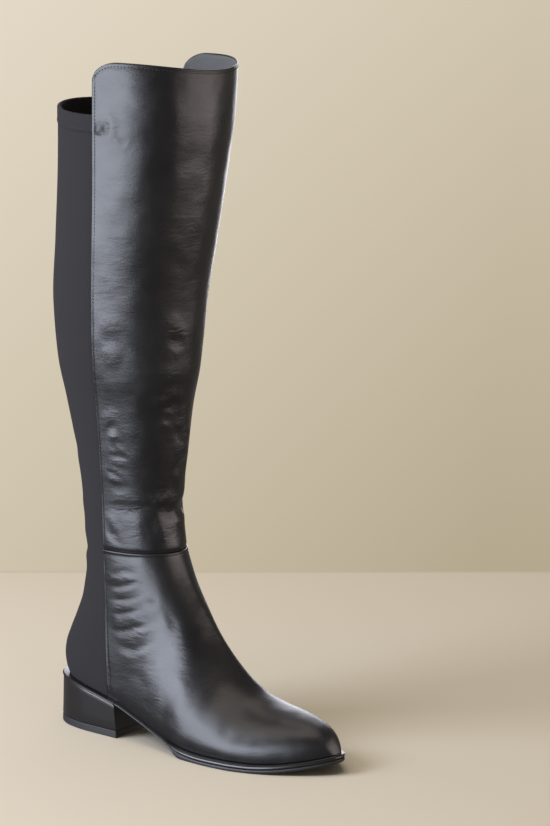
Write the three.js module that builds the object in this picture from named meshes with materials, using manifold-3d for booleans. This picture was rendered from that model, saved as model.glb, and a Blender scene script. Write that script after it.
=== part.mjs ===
// A right knee-high boot: a leather front, a stretch back panel, a zip on the inner side and a block heel.
// Millimetres. +X runs from heel to toe, +Y to the inner side of the foot, +Z up from the floor.
// Pieces are worked out in the last's frame, with the back of the heel seat at X = 0 and the floor at Z = 0.
// The finished group is then moved so that its box stands centred on the origin.

import * as THREE from 'three';
import { mergeVertices } from 'three/addons/utils/BufferGeometryUtils.js';
import Module from 'manifold-3d';

const wasm = await Module();
wasm.setup();

// Foot sizes
const SOLE_LENGTH = 270;
const BALL_WIDTH = 90;
const HEEL_HEIGHT = 43;
const TOE_SPRING = 9.5;
const LEDGE = 2.3;

// Shaft sizes
const ANKLE_HEIGHT = 154;
const COLLAR_HEIGHT = 508;
const FRONT_RISE = 34.5;
const SHAFT_LENGTH = 145;
const SHAFT_WIDTH = 135;
const HEM_DEPTH = 13;
const COLLAR_DIP = 6;
const FRONT_FALL = 6.8;
const FLAP_CORNER_WIDTH = 22;
const FLAP_CORNER_HEIGHT = 15;
const LINING_DROP = 0.8;

// Walls and clearances
const LEATHER = 1.3;
const WALL = 1.4;
const STRETCH_RECESS = 0.8;
const HEM_STEP = 0.5;
const SEAM_LIP = 0.7;
const GAP = 0.3;

// Sole and heel
const OUTSOLE_THICKNESS = 2.8;
const MIDSOLE_THICKNESS = 3.4;
const WAIST_THICKNESS = 1.6;
const INSOLE_THICKNESS = 3;
const INSOLE_GAP = 1;
const INSOLE_TOE_GAP = 5;
const HEEL_LENGTH = 71;
const HEEL_FLARE = 2;
const TOP_PIECE_THICKNESS = 6;
const EDGE_ROUND = 0.9;

// Zip
const ZIP_CHANNEL = 9.6;
const TAPE_THICKNESS = 0.6;
const TAPE_DROP = 1;
const CHAIN_WIDTH = 4.2;
const CHAIN_THICKNESS = 1.2;
const SLIDER_LENGTH = 12;
const SLIDER_WIDTH = 8.2;
const SLIDER_THICKNESS = 2.8;
const SLIDER_DROP = 24;
const BRIDGE_LENGTH = 7.4;
const BRIDGE_WIDTH = 2.4;
const BRIDGE_RISE = 3.4;
const BRIDGE_WALL = 0.9;
const BRIDGE_SINK = 0.3;
const RING_WIRE = 1.3;
const RING_CORNER = 1.6;
const RING_LENGTH = 16;
const RING_TOP_WIDTH = 5;
const RING_FOOT_WIDTH = 10.5;
const STRAP_WIDTH = 8;
const STRAP_LENGTH = 44;
const STRAP_THICKNESS = 1.8;
const STRAP_PLY = 0.9;

const FRONT_HEIGHT = COLLAR_HEIGHT + FRONT_RISE;
const SOLE_STACK = OUTSOLE_THICKNESS + GAP + MIDSOLE_THICKNESS + GAP;
const UNDER_LEATHER = LEATHER + GAP;

const clamp = (v, low, high) => Math.min(high, Math.max(low, v));
const mix = (a, b, t) => a + (b - a) * t;
const ease = (t) => t * t * (3 - 2 * t);
const stepsTo = (count) => Array.from({ length: count + 1 }, (_, i) => i / count);

// A smooth curve through a table: column y against column x, with no overshoot between rows.
function curve(rows, x, y) {
  const xs = rows.map((row) => row[x]);
  const ys = rows.map((row) => row[y]);
  const last = xs.length - 1;
  const slopes = xs.slice(1).map((v, i) => (ys[i + 1] - ys[i]) / (v - xs[i]));
  const tangents = xs.map((_, i) => {
    if (i === 0 || i === last) return slopes[Math.min(i, last - 1)];
    const [a, b] = [slopes[i - 1], slopes[i]];
    return a * b <= 0 ? 0 : (2 * a * b) / (a + b);
  });
  return (at) => {
    const v = clamp(at, xs[0], xs[last]);
    const i = clamp(xs.findIndex((right) => v <= right) - 1, 0, last - 1);
    const span = xs[i + 1] - xs[i];
    const t = (v - xs[i]) / span;
    const [t2, t3] = [t * t, t * t * t];
    return (2 * t3 - 3 * t2 + 1) * ys[i] + (t3 - 2 * t2 + t) * span * tangents[i]
      + (3 * t2 - 2 * t3) * ys[i + 1] + (t3 - t2) * span * tangents[i + 1];
  };
}

// Sole outline: along is a share of SOLE_LENGTH from the heel; outer and inner are shares of BALL_WIDTH.
const SOLE_OUTLINE = [
  { along: 0.0, outer: 0.0, inner: 0.0 },
  { along: 0.03, outer: 0.205, inner: 0.205 },
  { along: 0.08, outer: 0.286, inner: 0.286 },
  { along: 0.15, outer: 0.322, inner: 0.317 },
  { along: 0.26, outer: 0.332, inner: 0.306 },
  { along: 0.36, outer: 0.352, inner: 0.266 },
  { along: 0.46, outer: 0.4, inner: 0.256 },
  { along: 0.56, outer: 0.458, inner: 0.317 },
  { along: 0.64, outer: 0.468, inner: 0.41 },
  { along: 0.71, outer: 0.455, inner: 0.475 },
  { along: 0.77, outer: 0.412, inner: 0.5 },
  { along: 0.83, outer: 0.343, inner: 0.475 },
  { along: 0.89, outer: 0.245, inner: 0.404 },
  { along: 0.94, outer: 0.14, inner: 0.312 },
  { along: 0.98, outer: 0.03, inner: 0.205 },
  { along: 1.0, outer: -0.09, inner: 0.09 },
];

// Rise of the seat over its height at the ball: heel is a share of the heel's rise, toe one of TOE_SPRING.
const SOLE_RISE = [
  { along: 0.0, heel: 1.0, toe: 0.0 },
  { along: 0.12, heel: 0.86, toe: 0.0 },
  { along: 0.26, heel: 0.63, toe: 0.0 },
  { along: 0.36, heel: 0.38, toe: 0.0 },
  { along: 0.44, heel: 0.19, toe: 0.0 },
  { along: 0.52, heel: 0.06, toe: 0.0 },
  { along: 0.62, heel: 0.0, toe: 0.0 },
  { along: 0.77, heel: 0.0, toe: 0.0 },
  { along: 0.84, heel: 0.0, toe: 0.12 },
  { along: 0.91, heel: 0.0, toe: 0.42 },
  { along: 0.96, heel: 0.0, toe: 0.72 },
  { along: 1.0, heel: 0.0, toe: 1.0 },
];

// Steps of the sole's edge: waist is how far the sole thins to WAIST_THICKNESS, welt a share of
// MIDSOLE_THICKNESS.
const SOLE_STEPS = [
  { along: 0.0, waist: 1.0, welt: 0.0 },
  { along: 0.46, waist: 1.0, welt: 0.0 },
  { along: 0.48, waist: 0.96, welt: 0.1 },
  { along: 0.5, waist: 0.84, welt: 0.35 },
  { along: 0.52, waist: 0.3, welt: 0.7 },
  { along: 0.54, waist: 0.04, welt: 0.95 },
  { along: 0.56, waist: 0.0, welt: 1.0 },
  { along: 1.0, waist: 0.0, welt: 1.0 },
];

// Ridge of the vamp seen from the side: along is a share of SOLE_LENGTH, up a share of ANKLE_HEIGHT.
// Swing is the ridge's shift to the inner side, a share of BALL_WIDTH. Full is how far the cross-section's
// shoulders swell past an ellipse; below zero they fall away like a roof.
const RIDGE = [
  { along: 0.0, up: 3.6, swing: 0.05, full: 0.1 },
  { along: 0.3, up: 1.66, swing: 0.05, full: 0.1 },
  { along: 0.37, up: 1.25, swing: 0.05, full: 0.0 },
  { along: 0.4163, up: 1.0, swing: 0.06, full: -0.1 },
  { along: 0.455, up: 0.845, swing: 0.088, full: -0.2 },
  { along: 0.505, up: 0.705, swing: 0.118, full: -0.28 },
  { along: 0.548, up: 0.585, swing: 0.136, full: -0.3 },
  { along: 0.585, up: 0.502, swing: 0.146, full: -0.3 },
  { along: 0.624, up: 0.426, swing: 0.15, full: -0.28 },
  { along: 0.668, up: 0.36, swing: 0.15, full: -0.24 },
  { along: 0.71, up: 0.317, swing: 0.149, full: -0.18 },
  { along: 0.765, up: 0.288, swing: 0.146, full: -0.06 },
  { along: 0.83, up: 0.267, swing: 0.138, full: 0.08 },
  { along: 0.89, up: 0.245, swing: 0.124, full: 0.18 },
  { along: 0.93, up: 0.221, swing: 0.108, full: 0.24 },
  { along: 0.96, up: 0.187, swing: 0.097, full: 0.26 },
  { along: 0.978, up: 0.143, swing: 0.09, full: 0.28 },
  { along: 0.988, up: 0.103, swing: 0.09, full: 0.28 },
];

// Back of the heel under the ankle seam: up is a share of ANKLE_HEIGHT from the featherline,
// back a share of SOLE_LENGTH.
const HEEL_CURVE = [
  { up: 0.0, back: 0.015 },
  { up: 0.06, back: 0.006 },
  { up: 0.14, back: 0.002 },
  { up: 0.22, back: 0.006 },
  { up: 0.33, back: 0.022 },
  { up: 0.47, back: 0.047 },
  { up: 0.61, back: 0.068 },
  { up: 0.76, back: 0.077 },
  { up: 0.89, back: 0.08 },
  { up: 1.0, back: 0.0815 },
];

// Leg sections: up is a share of the way from ankle seam to collar; centre is a share of SOLE_LENGTH and
// swing of BALL_WIDTH; length is a share of SHAFT_LENGTH and width of SHAFT_WIDTH.
const LEG = [
  { up: 0.0, centre: 0.249, swing: 0.05, length: 0.624, width: 0.489 },
  { up: 0.1, centre: 0.237, swing: 0.046, length: 0.614, width: 0.504 },
  { up: 0.21, centre: 0.237, swing: 0.044, length: 0.671, width: 0.563 },
  { up: 0.33, centre: 0.231, swing: 0.043, length: 0.762, width: 0.652 },
  { up: 0.42, centre: 0.23, swing: 0.043, length: 0.847, width: 0.741 },
  { up: 0.55, centre: 0.234, swing: 0.045, length: 0.89, width: 0.83 },
  { up: 0.7, centre: 0.259, swing: 0.05, length: 0.914, width: 0.9 },
  { up: 0.86, centre: 0.284, swing: 0.06, length: 0.945, width: 0.96 },
  { up: 1.0, centre: 0.3, swing: 0.065, length: 0.983, width: 1.0 },
  { up: 1.1, centre: 0.305, swing: 0.065, length: 0.99, width: 1.014 },
];

// The side seams seen from the side: up is a share of ANKLE_HEIGHT on the foot and, past 1, of the leg's
// height. Outer is the leather's rear edge, zip the middle of the zip; both are shares of SOLE_LENGTH.
const SEAMS = [
  { up: 0.0, outer: 0.228, zip: 0.322 },
  { up: 0.2, outer: 0.226, zip: 0.307 },
  { up: 0.5, outer: 0.222, zip: 0.283 },
  { up: 0.8, outer: 0.222, zip: 0.264 },
  { up: 1.0, outer: 0.224, zip: 0.252 },
  { up: 1.12, outer: 0.226, zip: 0.243 },
  { up: 1.25, outer: 0.234, zip: 0.239 },
  { up: 1.4, outer: 0.246, zip: 0.24 },
  { up: 1.6, outer: 0.269, zip: 0.237 },
  { up: 1.8, outer: 0.293, zip: 0.226 },
  { up: 2.1, outer: 0.315, zip: 0.209 },
];

// The upper tucks in over the sole's edge. Its section begins to pass from foot to leg at a share of
// ANKLE_HEIGHT.
const TUCK = 2.4;
const TUCK_HEIGHT = 14;
const LEG_BLEND_FROM = 0.16;

// The heel's outline leans back with the heel's curve as far along as this share of SOLE_LENGTH.
const HEEL_LEAN_TO = 0.4;

const OUTLINE_BY_TURN = SOLE_OUTLINE.map((row) => ({ ...row, turn: Math.acos(1 - 2 * row.along) }));
const outlineShare = {
  outer: curve(OUTLINE_BY_TURN, 'turn', 'outer'),
  inner: curve(OUTLINE_BY_TURN, 'turn', 'inner'),
};
const heelRise = curve(SOLE_RISE, 'along', 'heel');
const toeRise = curve(SOLE_RISE, 'along', 'toe');
const waistShare = curve(SOLE_STEPS, 'along', 'waist');
const weltShare = curve(SOLE_STEPS, 'along', 'welt');
const ridgeUp = curve(RIDGE, 'along', 'up');
const ridgeSwing = curve(RIDGE, 'along', 'swing');
const ridgeFull = curve(RIDGE, 'along', 'full');
const heelBack = curve(HEEL_CURVE, 'up', 'back');
const legCentre = curve(LEG, 'up', 'centre');
const legSwing = curve(LEG, 'up', 'swing');
const legLength = curve(LEG, 'up', 'length');
const legWidth = curve(LEG, 'up', 'width');
const outerSeam = curve(SEAMS, 'up', 'outer');
const zipLine = curve(SEAMS, 'up', 'zip');

const turnAt = (x) => Math.acos(1 - 2 * clamp(x / SOLE_LENGTH, 0, 1));
const soleHalf = (side, x) => BALL_WIDTH * outlineShare[side](turnAt(x));
const legShare = (height) => (height - ANKLE_HEIGHT) / (COLLAR_HEIGHT - ANKLE_HEIGHT);
const seamShare = (height) => (height < ANKLE_HEIGHT ? height / ANKLE_HEIGHT : 1 + legShare(height));

// Height of the seat that the upper stands on, and of the sole's underside.
function seat(x) {
  const along = x / SOLE_LENGTH;
  return heelRise(along) * (HEEL_HEIGHT - SOLE_STACK) + toeRise(along) * TOE_SPRING + SOLE_STACK;
}
function underside(x) {
  const along = x / SOLE_LENGTH;
  return mix(toeRise(along) * TOE_SPRING, seat(x) - GAP - WAIST_THICKNESS, waistShare(along));
}

// A level is a height on the leg. Under the ankle seam it bends down to follow the seat.
const levelToZ = (x, level) => level + seat(x) * Math.max(0, 1 - level / ANKLE_HEIGHT);
const ridgeLevel = (x) => {
  const z = ridgeUp(x / SOLE_LENGTH) * ANKLE_HEIGHT;
  return (z - seat(x)) / (1 - seat(x) / ANKLE_HEIGHT);
};
const TOE_X = SOLE_LENGTH - LEDGE;

// How far forward the vamp reaches at a level: where the ridge is that high.
function ridgeX(level) {
  if (level <= ridgeLevel(TOE_X)) return TOE_X;
  let [near, far] = [0, TOE_X];
  while (far - near > 1e-7) {
    const middle = (near + far) / 2;
    if (ridgeLevel(middle) > level) near = middle;
    else far = middle;
  }
  return (near + far) / 2;
}

// Back and front of the boot at a level.
function reach(level) {
  if (level < ANKLE_HEIGHT) return [heelBack(level / ANKLE_HEIGHT) * SOLE_LENGTH, ridgeX(level)];
  const up = legShare(level);
  const centre = legCentre(up) * SOLE_LENGTH;
  const half = (legLength(up) * SHAFT_LENGTH) / 2;
  return [centre - half, centre + half];
}

// Where the foot's wall stands at x on a level, out from the ridge line.
function footY(side, x, level, back, front) {
  const shift = back * (1 - ease(clamp(x / (HEEL_LEAN_TO * SOLE_LENGTH), 0, 1)));
  const width = soleHalf(side, ((x - shift) * SOLE_LENGTH) / TOE_X) * (1 - (2 * LEDGE) / BALL_WIDTH);
  const above = level * (1 - seat(x) / ANKLE_HEIGHT);
  const tuck = TUCK * (1 - clamp(above / TUCK_HEIGHT, 0, 1)) ** 2;
  const rise = clamp(level / ridgeLevel(x), 0, 1);
  const arch = Math.sqrt(1 - rise * rise);
  const full = arch * (1 + ridgeFull(x / SOLE_LENGTH) * (1 - arch));
  const swing = ridgeSwing(front / SOLE_LENGTH) * BALL_WIDTH * (1 - full);
  const wide = (width - (tuck * Math.max(width, 0)) / (BALL_WIDTH / 2)) * full;
  return side === 'outer' ? swing - wide : swing + wide;
}

// The boot's outer form. Angle 0 is the front, positive on the outer side, and a half turn is the back.
function formPoint(angle, level) {
  const [back, front] = reach(level);
  const x = mix(back, front, (1 + Math.cos(angle)) / 2);
  const side = Math.sin(angle) >= 0 ? 'outer' : 'inner';
  const up = Math.max(0, legShare(level));
  const legY = legSwing(up) * BALL_WIDTH - (Math.sin(angle) * legWidth(up) * SHAFT_WIDTH) / 2;
  const blend = ease(clamp((level / ANKLE_HEIGHT - LEG_BLEND_FROM) / (1 - LEG_BLEND_FROM), 0, 1));
  const y = blend < 1 ? mix(footY(side, x, level, back, front), legY, blend) : legY;
  return new THREE.Vector3(x, y, levelToZ(x, level));
}

// A point on the form moved inwards, square to the surface. The bottom edge stays on the seat.
const SLOPE_STEP = 0.02;
function insideForm(angle, level, depth) {
  const point = formPoint(angle, level);
  const around = formPoint(angle + SLOPE_STEP, level).sub(formPoint(angle - SLOPE_STEP, level));
  const up = level > 0
    ? formPoint(angle, level + 1).sub(formPoint(angle, Math.max(0, level - 1)))
    : new THREE.Vector3(0, 0, 1);
  const outward = around.cross(up).normalize().negate();
  if (level <= 0) outward.setZ(0).normalize();
  const moved = point.addScaledVector(outward, -depth);
  if (level <= 0) moved.z = seat(moved.x);
  return moved;
}

// Rows of the shell: level, and how much of the collar's dip the row takes.
const FOOT_ROWS = [
  0, 0.035, 0.07, 0.1, 0.13, 0.16, 0.187, 0.213, 0.245, 0.295, 0.36, 0.45, 0.56, 0.7, 0.85, 0.97,
].map((share) => ({ level: share * ANKLE_HEIGHT, dip: 0 }));
const SEAM_ROW = { level: ANKLE_HEIGHT, dip: 0 };
const HEM_LEVEL = COLLAR_HEIGHT - HEM_DEPTH;
const LEG_ROWS = [0.08, 0.17, 0.27, 0.37, 0.48, 0.6, 0.72, 0.84, 0.93]
  .map((share) => ({ level: mix(ANKLE_HEIGHT, HEM_LEVEL, share), dip: share ** 4 }));
const HEM_ROW = { level: HEM_LEVEL, dip: 1 };
const COLLAR_ROW = { level: COLLAR_HEIGHT, dip: 1 };
const levelOf = (row, angle) => row.level - row.dip * COLLAR_DIP * Math.sin(angle) ** 2;
const sideLevel = (row) => row.level - row.dip * COLLAR_DIP;

// The angle on a row that lies at x, on the outer (+1) or inner (-1) side.
function angleAt(x, level, side) {
  const [back, front] = reach(level);
  return side * Math.acos(clamp((2 * (x - back)) / (front - back) - 1, -1, 1));
}

// Angles of the leather's rear edge and of both edges of the zip's channel, on a level.
function seamAngles(level) {
  const share = seamShare(level);
  const zip = zipLine(share) * SOLE_LENGTH;
  const outer = outerSeam(share) * SOLE_LENGTH;
  return {
    leatherOuter: angleAt(outer, level, 1),
    stepOuter: angleAt(outer - GAP, level, 1),
    leatherInner: angleAt(zip + ZIP_CHANNEL / 2, level, -1),
    stepInner: angleAt(zip - ZIP_CHANNEL / 2, level, -1),
  };
}

// Makes one closed mesh from triangles, with shared corners merged and flat slivers dropped.
function solid(name, colour, roughness, metalness, points, triangles) {
  const raw = new THREE.BufferGeometry();
  raw.setAttribute('position', new THREE.Float32BufferAttribute(points.flatMap((p) => [p.x, p.y, p.z]), 3));
  raw.setIndex(triangles.flat());
  const merged = mergeVertices(raw, 1e-3);
  const index = [...merged.index.array];
  const kept = [];
  for (let i = 0; i < index.length; i += 3) {
    const [a, b, c] = index.slice(i, i + 3);
    if (a !== b && b !== c && a !== c) kept.push([a, b, c]);
  }
  const position = merged.getAttribute('position');
  const at = (i) => new THREE.Vector3().fromBufferAttribute(position, i);
  const volume = kept.reduce((sum, [a, b, c]) => sum + at(a).dot(at(b).cross(at(c))), 0);
  merged.setIndex((volume < 0 ? kept.map(([a, b, c]) => [a, c, b]) : kept).flat());
  return named(name, colour, roughness, metalness, merged);
}

function named(name, colour, roughness, metalness, geometry) {
  const shaded = geometry.toNonIndexed();
  shaded.computeVertexNormals();
  const material = new THREE.MeshStandardMaterial({ color: colour, roughness, metalness });
  const mesh = new THREE.Mesh(shaded, material);
  mesh.name = name;
  return mesh;
}

// Joins rings of equal length. Open ends are capped by pairing a ring's first points with its last ones.
// Quads that turned(ring, place) picks are split along their other diagonal, so both faces of a wall match.
function loft(rings, looped, turned = () => false) {
  const count = rings[0].length;
  const triangles = [];
  const quad = (a, b, c, d) => triangles.push([a, b, c], [a, c, d]);
  const strips = looped ? rings.length : rings.length - 1;
  for (let r = 0; r < strips; r += 1) {
    const [here, next] = [r * count, ((r + 1) % rings.length) * count];
    for (let i = 0; i < count; i += 1) {
      const j = (i + 1) % count;
      if (turned(r, i)) quad(here + j, next + j, next + i, here + i);
      else quad(here + i, here + j, next + j, next + i);
    }
  }
  if (!looped) {
    const end = (rings.length - 1) * count;
    for (let i = 0; i < Math.floor((count - 1) / 2); i += 1) {
      const far = count - 1 - i;
      quad(i, far, far - 1, i + 1);
      quad(end + i, end + i + 1, end + far - 1, end + far);
    }
  }
  return { points: rings.flat(), triangles };
}

// Columns of a ring: leather front from the zip round the toe to the outer seam, then the stretch back.
const FRONT_COLUMNS = 26;
const BACK_COLUMNS = 16;
const CORNER_COLUMNS = [0.012, 0.03];
const FRONT_SHARES = [
  0, ...CORNER_COLUMNS,
  ...stepsTo(FRONT_COLUMNS - 2 * CORNER_COLUMNS.length).slice(1, -1),
  ...CORNER_COLUMNS.map((v) => 1 - v).reverse(), 1,
];
const frontAngle = (row, share) => {
  const edge = seamAngles(sideLevel(row));
  return mix(edge.leatherInner, edge.leatherOuter, share);
};
const backAngle = (row, share) => {
  const edge = seamAngles(sideLevel(row));
  return mix(edge.stepOuter, 2 * Math.PI + edge.stepInner, share);
};

// Top edge of the front: it falls a little at the shin and rounds down at both rear corners.
function frontTop(angle, share) {
  const edge = seamAngles(FRONT_HEIGHT);
  const span = edge.leatherOuter - edge.leatherInner;
  const fromEdge = Math.min(share, 1 - share) * span * (SHAFT_WIDTH / 2);
  const left = Math.max(0, 1 - fromEdge / FLAP_CORNER_WIDTH);
  const corner = FLAP_CORNER_HEIGHT * (1 - Math.sqrt(1 - left * left));
  return FRONT_HEIGHT - FRONT_FALL * Math.max(0, Math.cos(angle)) ** 3 - corner;
}

// Rows of the front above the collar: rise is the row's share of the way from the collar to the top edge.
const FLAP_ROWS = [0.34, 0.7, 1].map((rise) => ({ ...COLLAR_ROW, rise }));
const frontLevel = (row, angle, share, drop) => {
  const level = levelOf(row, angle);
  return row.rise ? mix(level, frontTop(angle, share) - drop, row.rise) : level;
};

// One ring of the upper: the zip's channel, the part under the leather, and the stretch back, a step higher.
function upperRing(row, depthUnder, depthBack) {
  const under = FRONT_SHARES.map((share) => {
    const angle = frontAngle(row, share);
    return insideForm(angle, frontLevel(row, angle, share, LINING_DROP), depthUnder);
  });
  const { stepOuter, stepInner } = seamAngles(sideLevel(row));
  const back = stepsTo(BACK_COLUMNS).map((share) => [backAngle(row, share), depthBack]);
  const rest = [[stepOuter, depthUnder], ...back, [2 * Math.PI + stepInner, depthUnder]]
    .map(([angle, depth]) => insideForm(angle, levelOf(row, angle), depth));
  return [...under, ...rest];
}

function upperMesh() {
  const inner = UNDER_LEATHER + WALL;
  const hem = STRETCH_RECESS - HEM_STEP;
  const wall = [...FOOT_ROWS, SEAM_ROW, ...LEG_ROWS, HEM_ROW];
  const outside = wall.map((row) => upperRing(row, UNDER_LEATHER, STRETCH_RECESS));
  const top = [COLLAR_ROW, ...FLAP_ROWS];
  outside.push(...[HEM_ROW, ...top].map((row) => upperRing(row, UNDER_LEATHER, hem)));
  const inside = [...wall, ...top].map((row) => upperRing(row, inner, inner)).reverse();
  const { points, triangles } = loft([...outside, ...inside], true, (r) => r >= outside.length);
  return solid('upper', 0x3a383d, 0.85, 0, points, triangles);
}

// A leather panel over the upper: columns from the zip to the outer seam, each closed over and under.
function panel(name, colour, rows, levelAt, proud) {
  const rings = FRONT_SHARES.map((share) => {
    const over = rows.map((row, i) => {
      const angle = frontAngle(row, share);
      return insideForm(angle, levelAt(row, angle, share), -proud(i));
    });
    const under = rows.map((row) => {
      const angle = frontAngle(row, share);
      return insideForm(angle, levelAt(row, angle, share), LEATHER);
    });
    return [...over, ...under.reverse()];
  });
  const { points, triangles } = loft(rings, false, (_, i) => i >= rows.length);
  return solid(name, colour, 0.38, 0, points, triangles);
}

function vampMesh() {
  const rows = [...FOOT_ROWS, { level: ANKLE_HEIGHT - GAP / 2, dip: 0 }];
  const lip = (i) => (i === rows.length - 1 ? SEAM_LIP : 0);
  return panel('vamp', 0x1c1b1e, rows, levelOf, lip);
}

function shaftFrontMesh() {
  const wall = [{ level: ANKLE_HEIGHT + GAP / 2, dip: 0 }, ...LEG_ROWS, HEM_ROW, COLLAR_ROW];
  const levelAt = (row, angle, share) => frontLevel(row, angle, share, 0);
  return panel('shaft_front', 0x1c1b1e, [...wall, ...FLAP_ROWS], levelAt, () => 0);
}

// A point of the sole's outline by turn, moved inwards by inset.
function solePoint(side, turn, inset) {
  const sign = side === 'outer' ? -1 : 1;
  const at = (t) => (
    new THREE.Vector2((SOLE_LENGTH * (1 - Math.cos(t))) / 2, sign * BALL_WIDTH * outlineShare[side](t))
  );
  const here = at(turn);
  const along = at(Math.min(Math.PI, turn + 0.01)).sub(at(Math.max(0, turn - 0.01)));
  const inward = new THREE.Vector2(along.y, -along.x).normalize().multiplyScalar(sign);
  return here.addScaledVector(inward, inset);
}

// A layer of the sole from startX to the toe, between two heights, with its long edges eased by low and high.
function soleLayer(name, colour, roughness, startX, bottomAt, topAt, low, high) {
  const start = turnAt(startX);
  const rings = stepsTo(SOLE_STATIONS).map((t) => {
    const turn = mix(start, Math.PI, t);
    const x = solePoint('outer', turn, 0).x;
    const fit = Math.min(1, (topAt(x) - bottomAt(x)) / (low + high + GAP));
    const edge = (side) => [
      [bottomAt, 0, low],
      [bottomAt, low, 0],
      [topAt, -high, 0],
      [topAt, 0, high],
    ].map(([heightAt, up, inset]) => {
      const p = solePoint(side, turn, inset * fit);
      return new THREE.Vector3(p.x, p.y, heightAt(p.x) + up * fit);
    });
    return [...edge('outer'), ...edge('inner').reverse()];
  });
  const { points, triangles } = loft(rings, false);
  return solid(name, colour, roughness, 0, points, triangles);
}

// The welt lies under the seat from behind the ball to the toe, and thins to nothing at the waist.
const SOLE_STATIONS = 42;
const WELT_START = 0.487;
const WELT_GAP_FROM = 0.15;
const weltBottom = (x) => seat(x) - GAP - weltShare(x / SOLE_LENGTH) * MIDSOLE_THICKNESS;
const outsoleTop = (x) => weltBottom(x) - GAP * Math.min(1, weltShare(x / SOLE_LENGTH) / WELT_GAP_FROM);

function outsoleMesh() {
  const start = HEEL_LENGTH + 2 * GAP;
  return soleLayer('outsole', 0x1a1918, 0.55, start, underside, outsoleTop, EDGE_ROUND, EDGE_ROUND / 3);
}

function midsoleMesh() {
  const start = WELT_START * SOLE_LENGTH;
  const top = (x) => seat(x) - GAP;
  return soleLayer('midsole', 0x1e1c1b, 0.45, start, weltBottom, top, EDGE_ROUND / 2, EDGE_ROUND);
}

function insoleMesh() {
  const rings = stepsTo(40).map((t) => {
    const angle = Math.PI * (1 - t);
    const toe = INSOLE_TOE_GAP * Math.max(0, Math.cos(angle)) ** 8;
    const inset = UNDER_LEATHER + WALL + INSOLE_GAP + toe;
    const [outer, inner] = [insideForm(angle, 0, inset), insideForm(-angle, 0, inset)];
    const raised = (p) => new THREE.Vector3(p.x, p.y, p.z + INSOLE_THICKNESS);
    return [outer, raised(outer), raised(inner), inner];
  });
  const { points, triangles } = loft(rings, false);
  return solid('insole', 0x2b2624, 0.8, 0, points, triangles);
}

// The heel's outline at a height, from the outer breast corner round the back to the inner one.
function heelRing(heightAt, flare, inset) {
  const end = turnAt(HEEL_LENGTH);
  const side = (name) => stepsTo(14).map((t) => {
    const p = solePoint(name, end * (1 - t), inset);
    const x = p.x + flare * ((2 * p.x) / HEEL_LENGTH - 1);
    return new THREE.Vector3(x, p.y, heightAt(p.x));
  });
  return [...side('outer'), ...side('inner').reverse().slice(1)];
}

function heelBlockMesh() {
  const foot = TOP_PIECE_THICKNESS + GAP;
  const share = foot / HEEL_HEIGHT;
  const { points, triangles } = loft([
    heelRing(() => foot, HEEL_FLARE * (1 - share), 0),
    heelRing((x) => seat(x) - GAP - EDGE_ROUND, 0, 0),
    heelRing((x) => seat(x) - GAP, 0, EDGE_ROUND / 2),
  ], false);
  return solid('heel_block', 0x1f1d1c, 0.42, 0, points, triangles);
}

function topPieceMesh() {
  const { points, triangles } = loft([
    heelRing(() => 0, HEEL_FLARE, EDGE_ROUND / 2),
    heelRing(() => EDGE_ROUND, HEEL_FLARE, 0),
    heelRing(() => TOP_PIECE_THICKNESS, HEEL_FLARE * (1 - TOP_PIECE_THICKNESS / HEEL_HEIGHT), 0),
  ], false);
  return solid('heel_top_piece', 0x18181a, 0.7, 0, points, triangles);
}

// Both edges of a strip that runs along the zip, half its width to each side, at one depth.
function zipStrip(level, half, depth) {
  const zip = zipLine(seamShare(level)) * SOLE_LENGTH;
  return [half, -half].map((offset) => insideForm(angleAt(zip + offset, level, -1), level, depth));
}

function zipTapeMesh() {
  const rows = [...FOOT_ROWS.slice(1), SEAM_ROW, ...LEG_ROWS, HEM_ROW, COLLAR_ROW];
  const half = ZIP_CHANNEL / 2 - GAP;
  const floor = UNDER_LEATHER - GAP;
  const rings = rows.map((row) => {
    const level = sideLevel(row) - (row === COLLAR_ROW ? TAPE_DROP : 0);
    const [frontLow, rearLow] = zipStrip(level, half, floor);
    const [frontHigh, rearHigh] = zipStrip(level, half, floor - TAPE_THICKNESS);
    return [frontLow, frontHigh, rearHigh, rearLow];
  });
  const { points, triangles } = loft(rings, false);
  return solid('zip_tape', 0x141416, 0.9, 0, points, triangles);
}

const SLIDER_LEVEL = COLLAR_HEIGHT - COLLAR_DIP - SLIDER_DROP;
const CHAIN_BOTTOM = 0.1 * ANKLE_HEIGHT;
const CHAIN_DEPTH = UNDER_LEATHER - GAP - TAPE_THICKNESS - GAP;

function zipChainMesh() {
  const top = SLIDER_LEVEL - SLIDER_LENGTH / 2 - GAP;
  const foot = FOOT_ROWS.map((row) => row.level).filter((level) => level > CHAIN_BOTTOM);
  const leg = [SEAM_ROW, ...LEG_ROWS].map((row) => row.level).filter((level) => level < top);
  const rings = [CHAIN_BOTTOM, ...foot, ...leg, top].map((level) => {
    const [frontLow, rearLow] = zipStrip(level, CHAIN_WIDTH / 2, CHAIN_DEPTH);
    const [frontHigh, rearHigh] = zipStrip(level, CHAIN_WIDTH / 3, CHAIN_DEPTH - CHAIN_THICKNESS);
    return [frontLow, frontHigh, rearHigh, rearLow];
  });
  const { points, triangles } = loft(rings, false);
  return solid('zip_chain', 0x101012, 0.4, 0, points, triangles);
}

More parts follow.
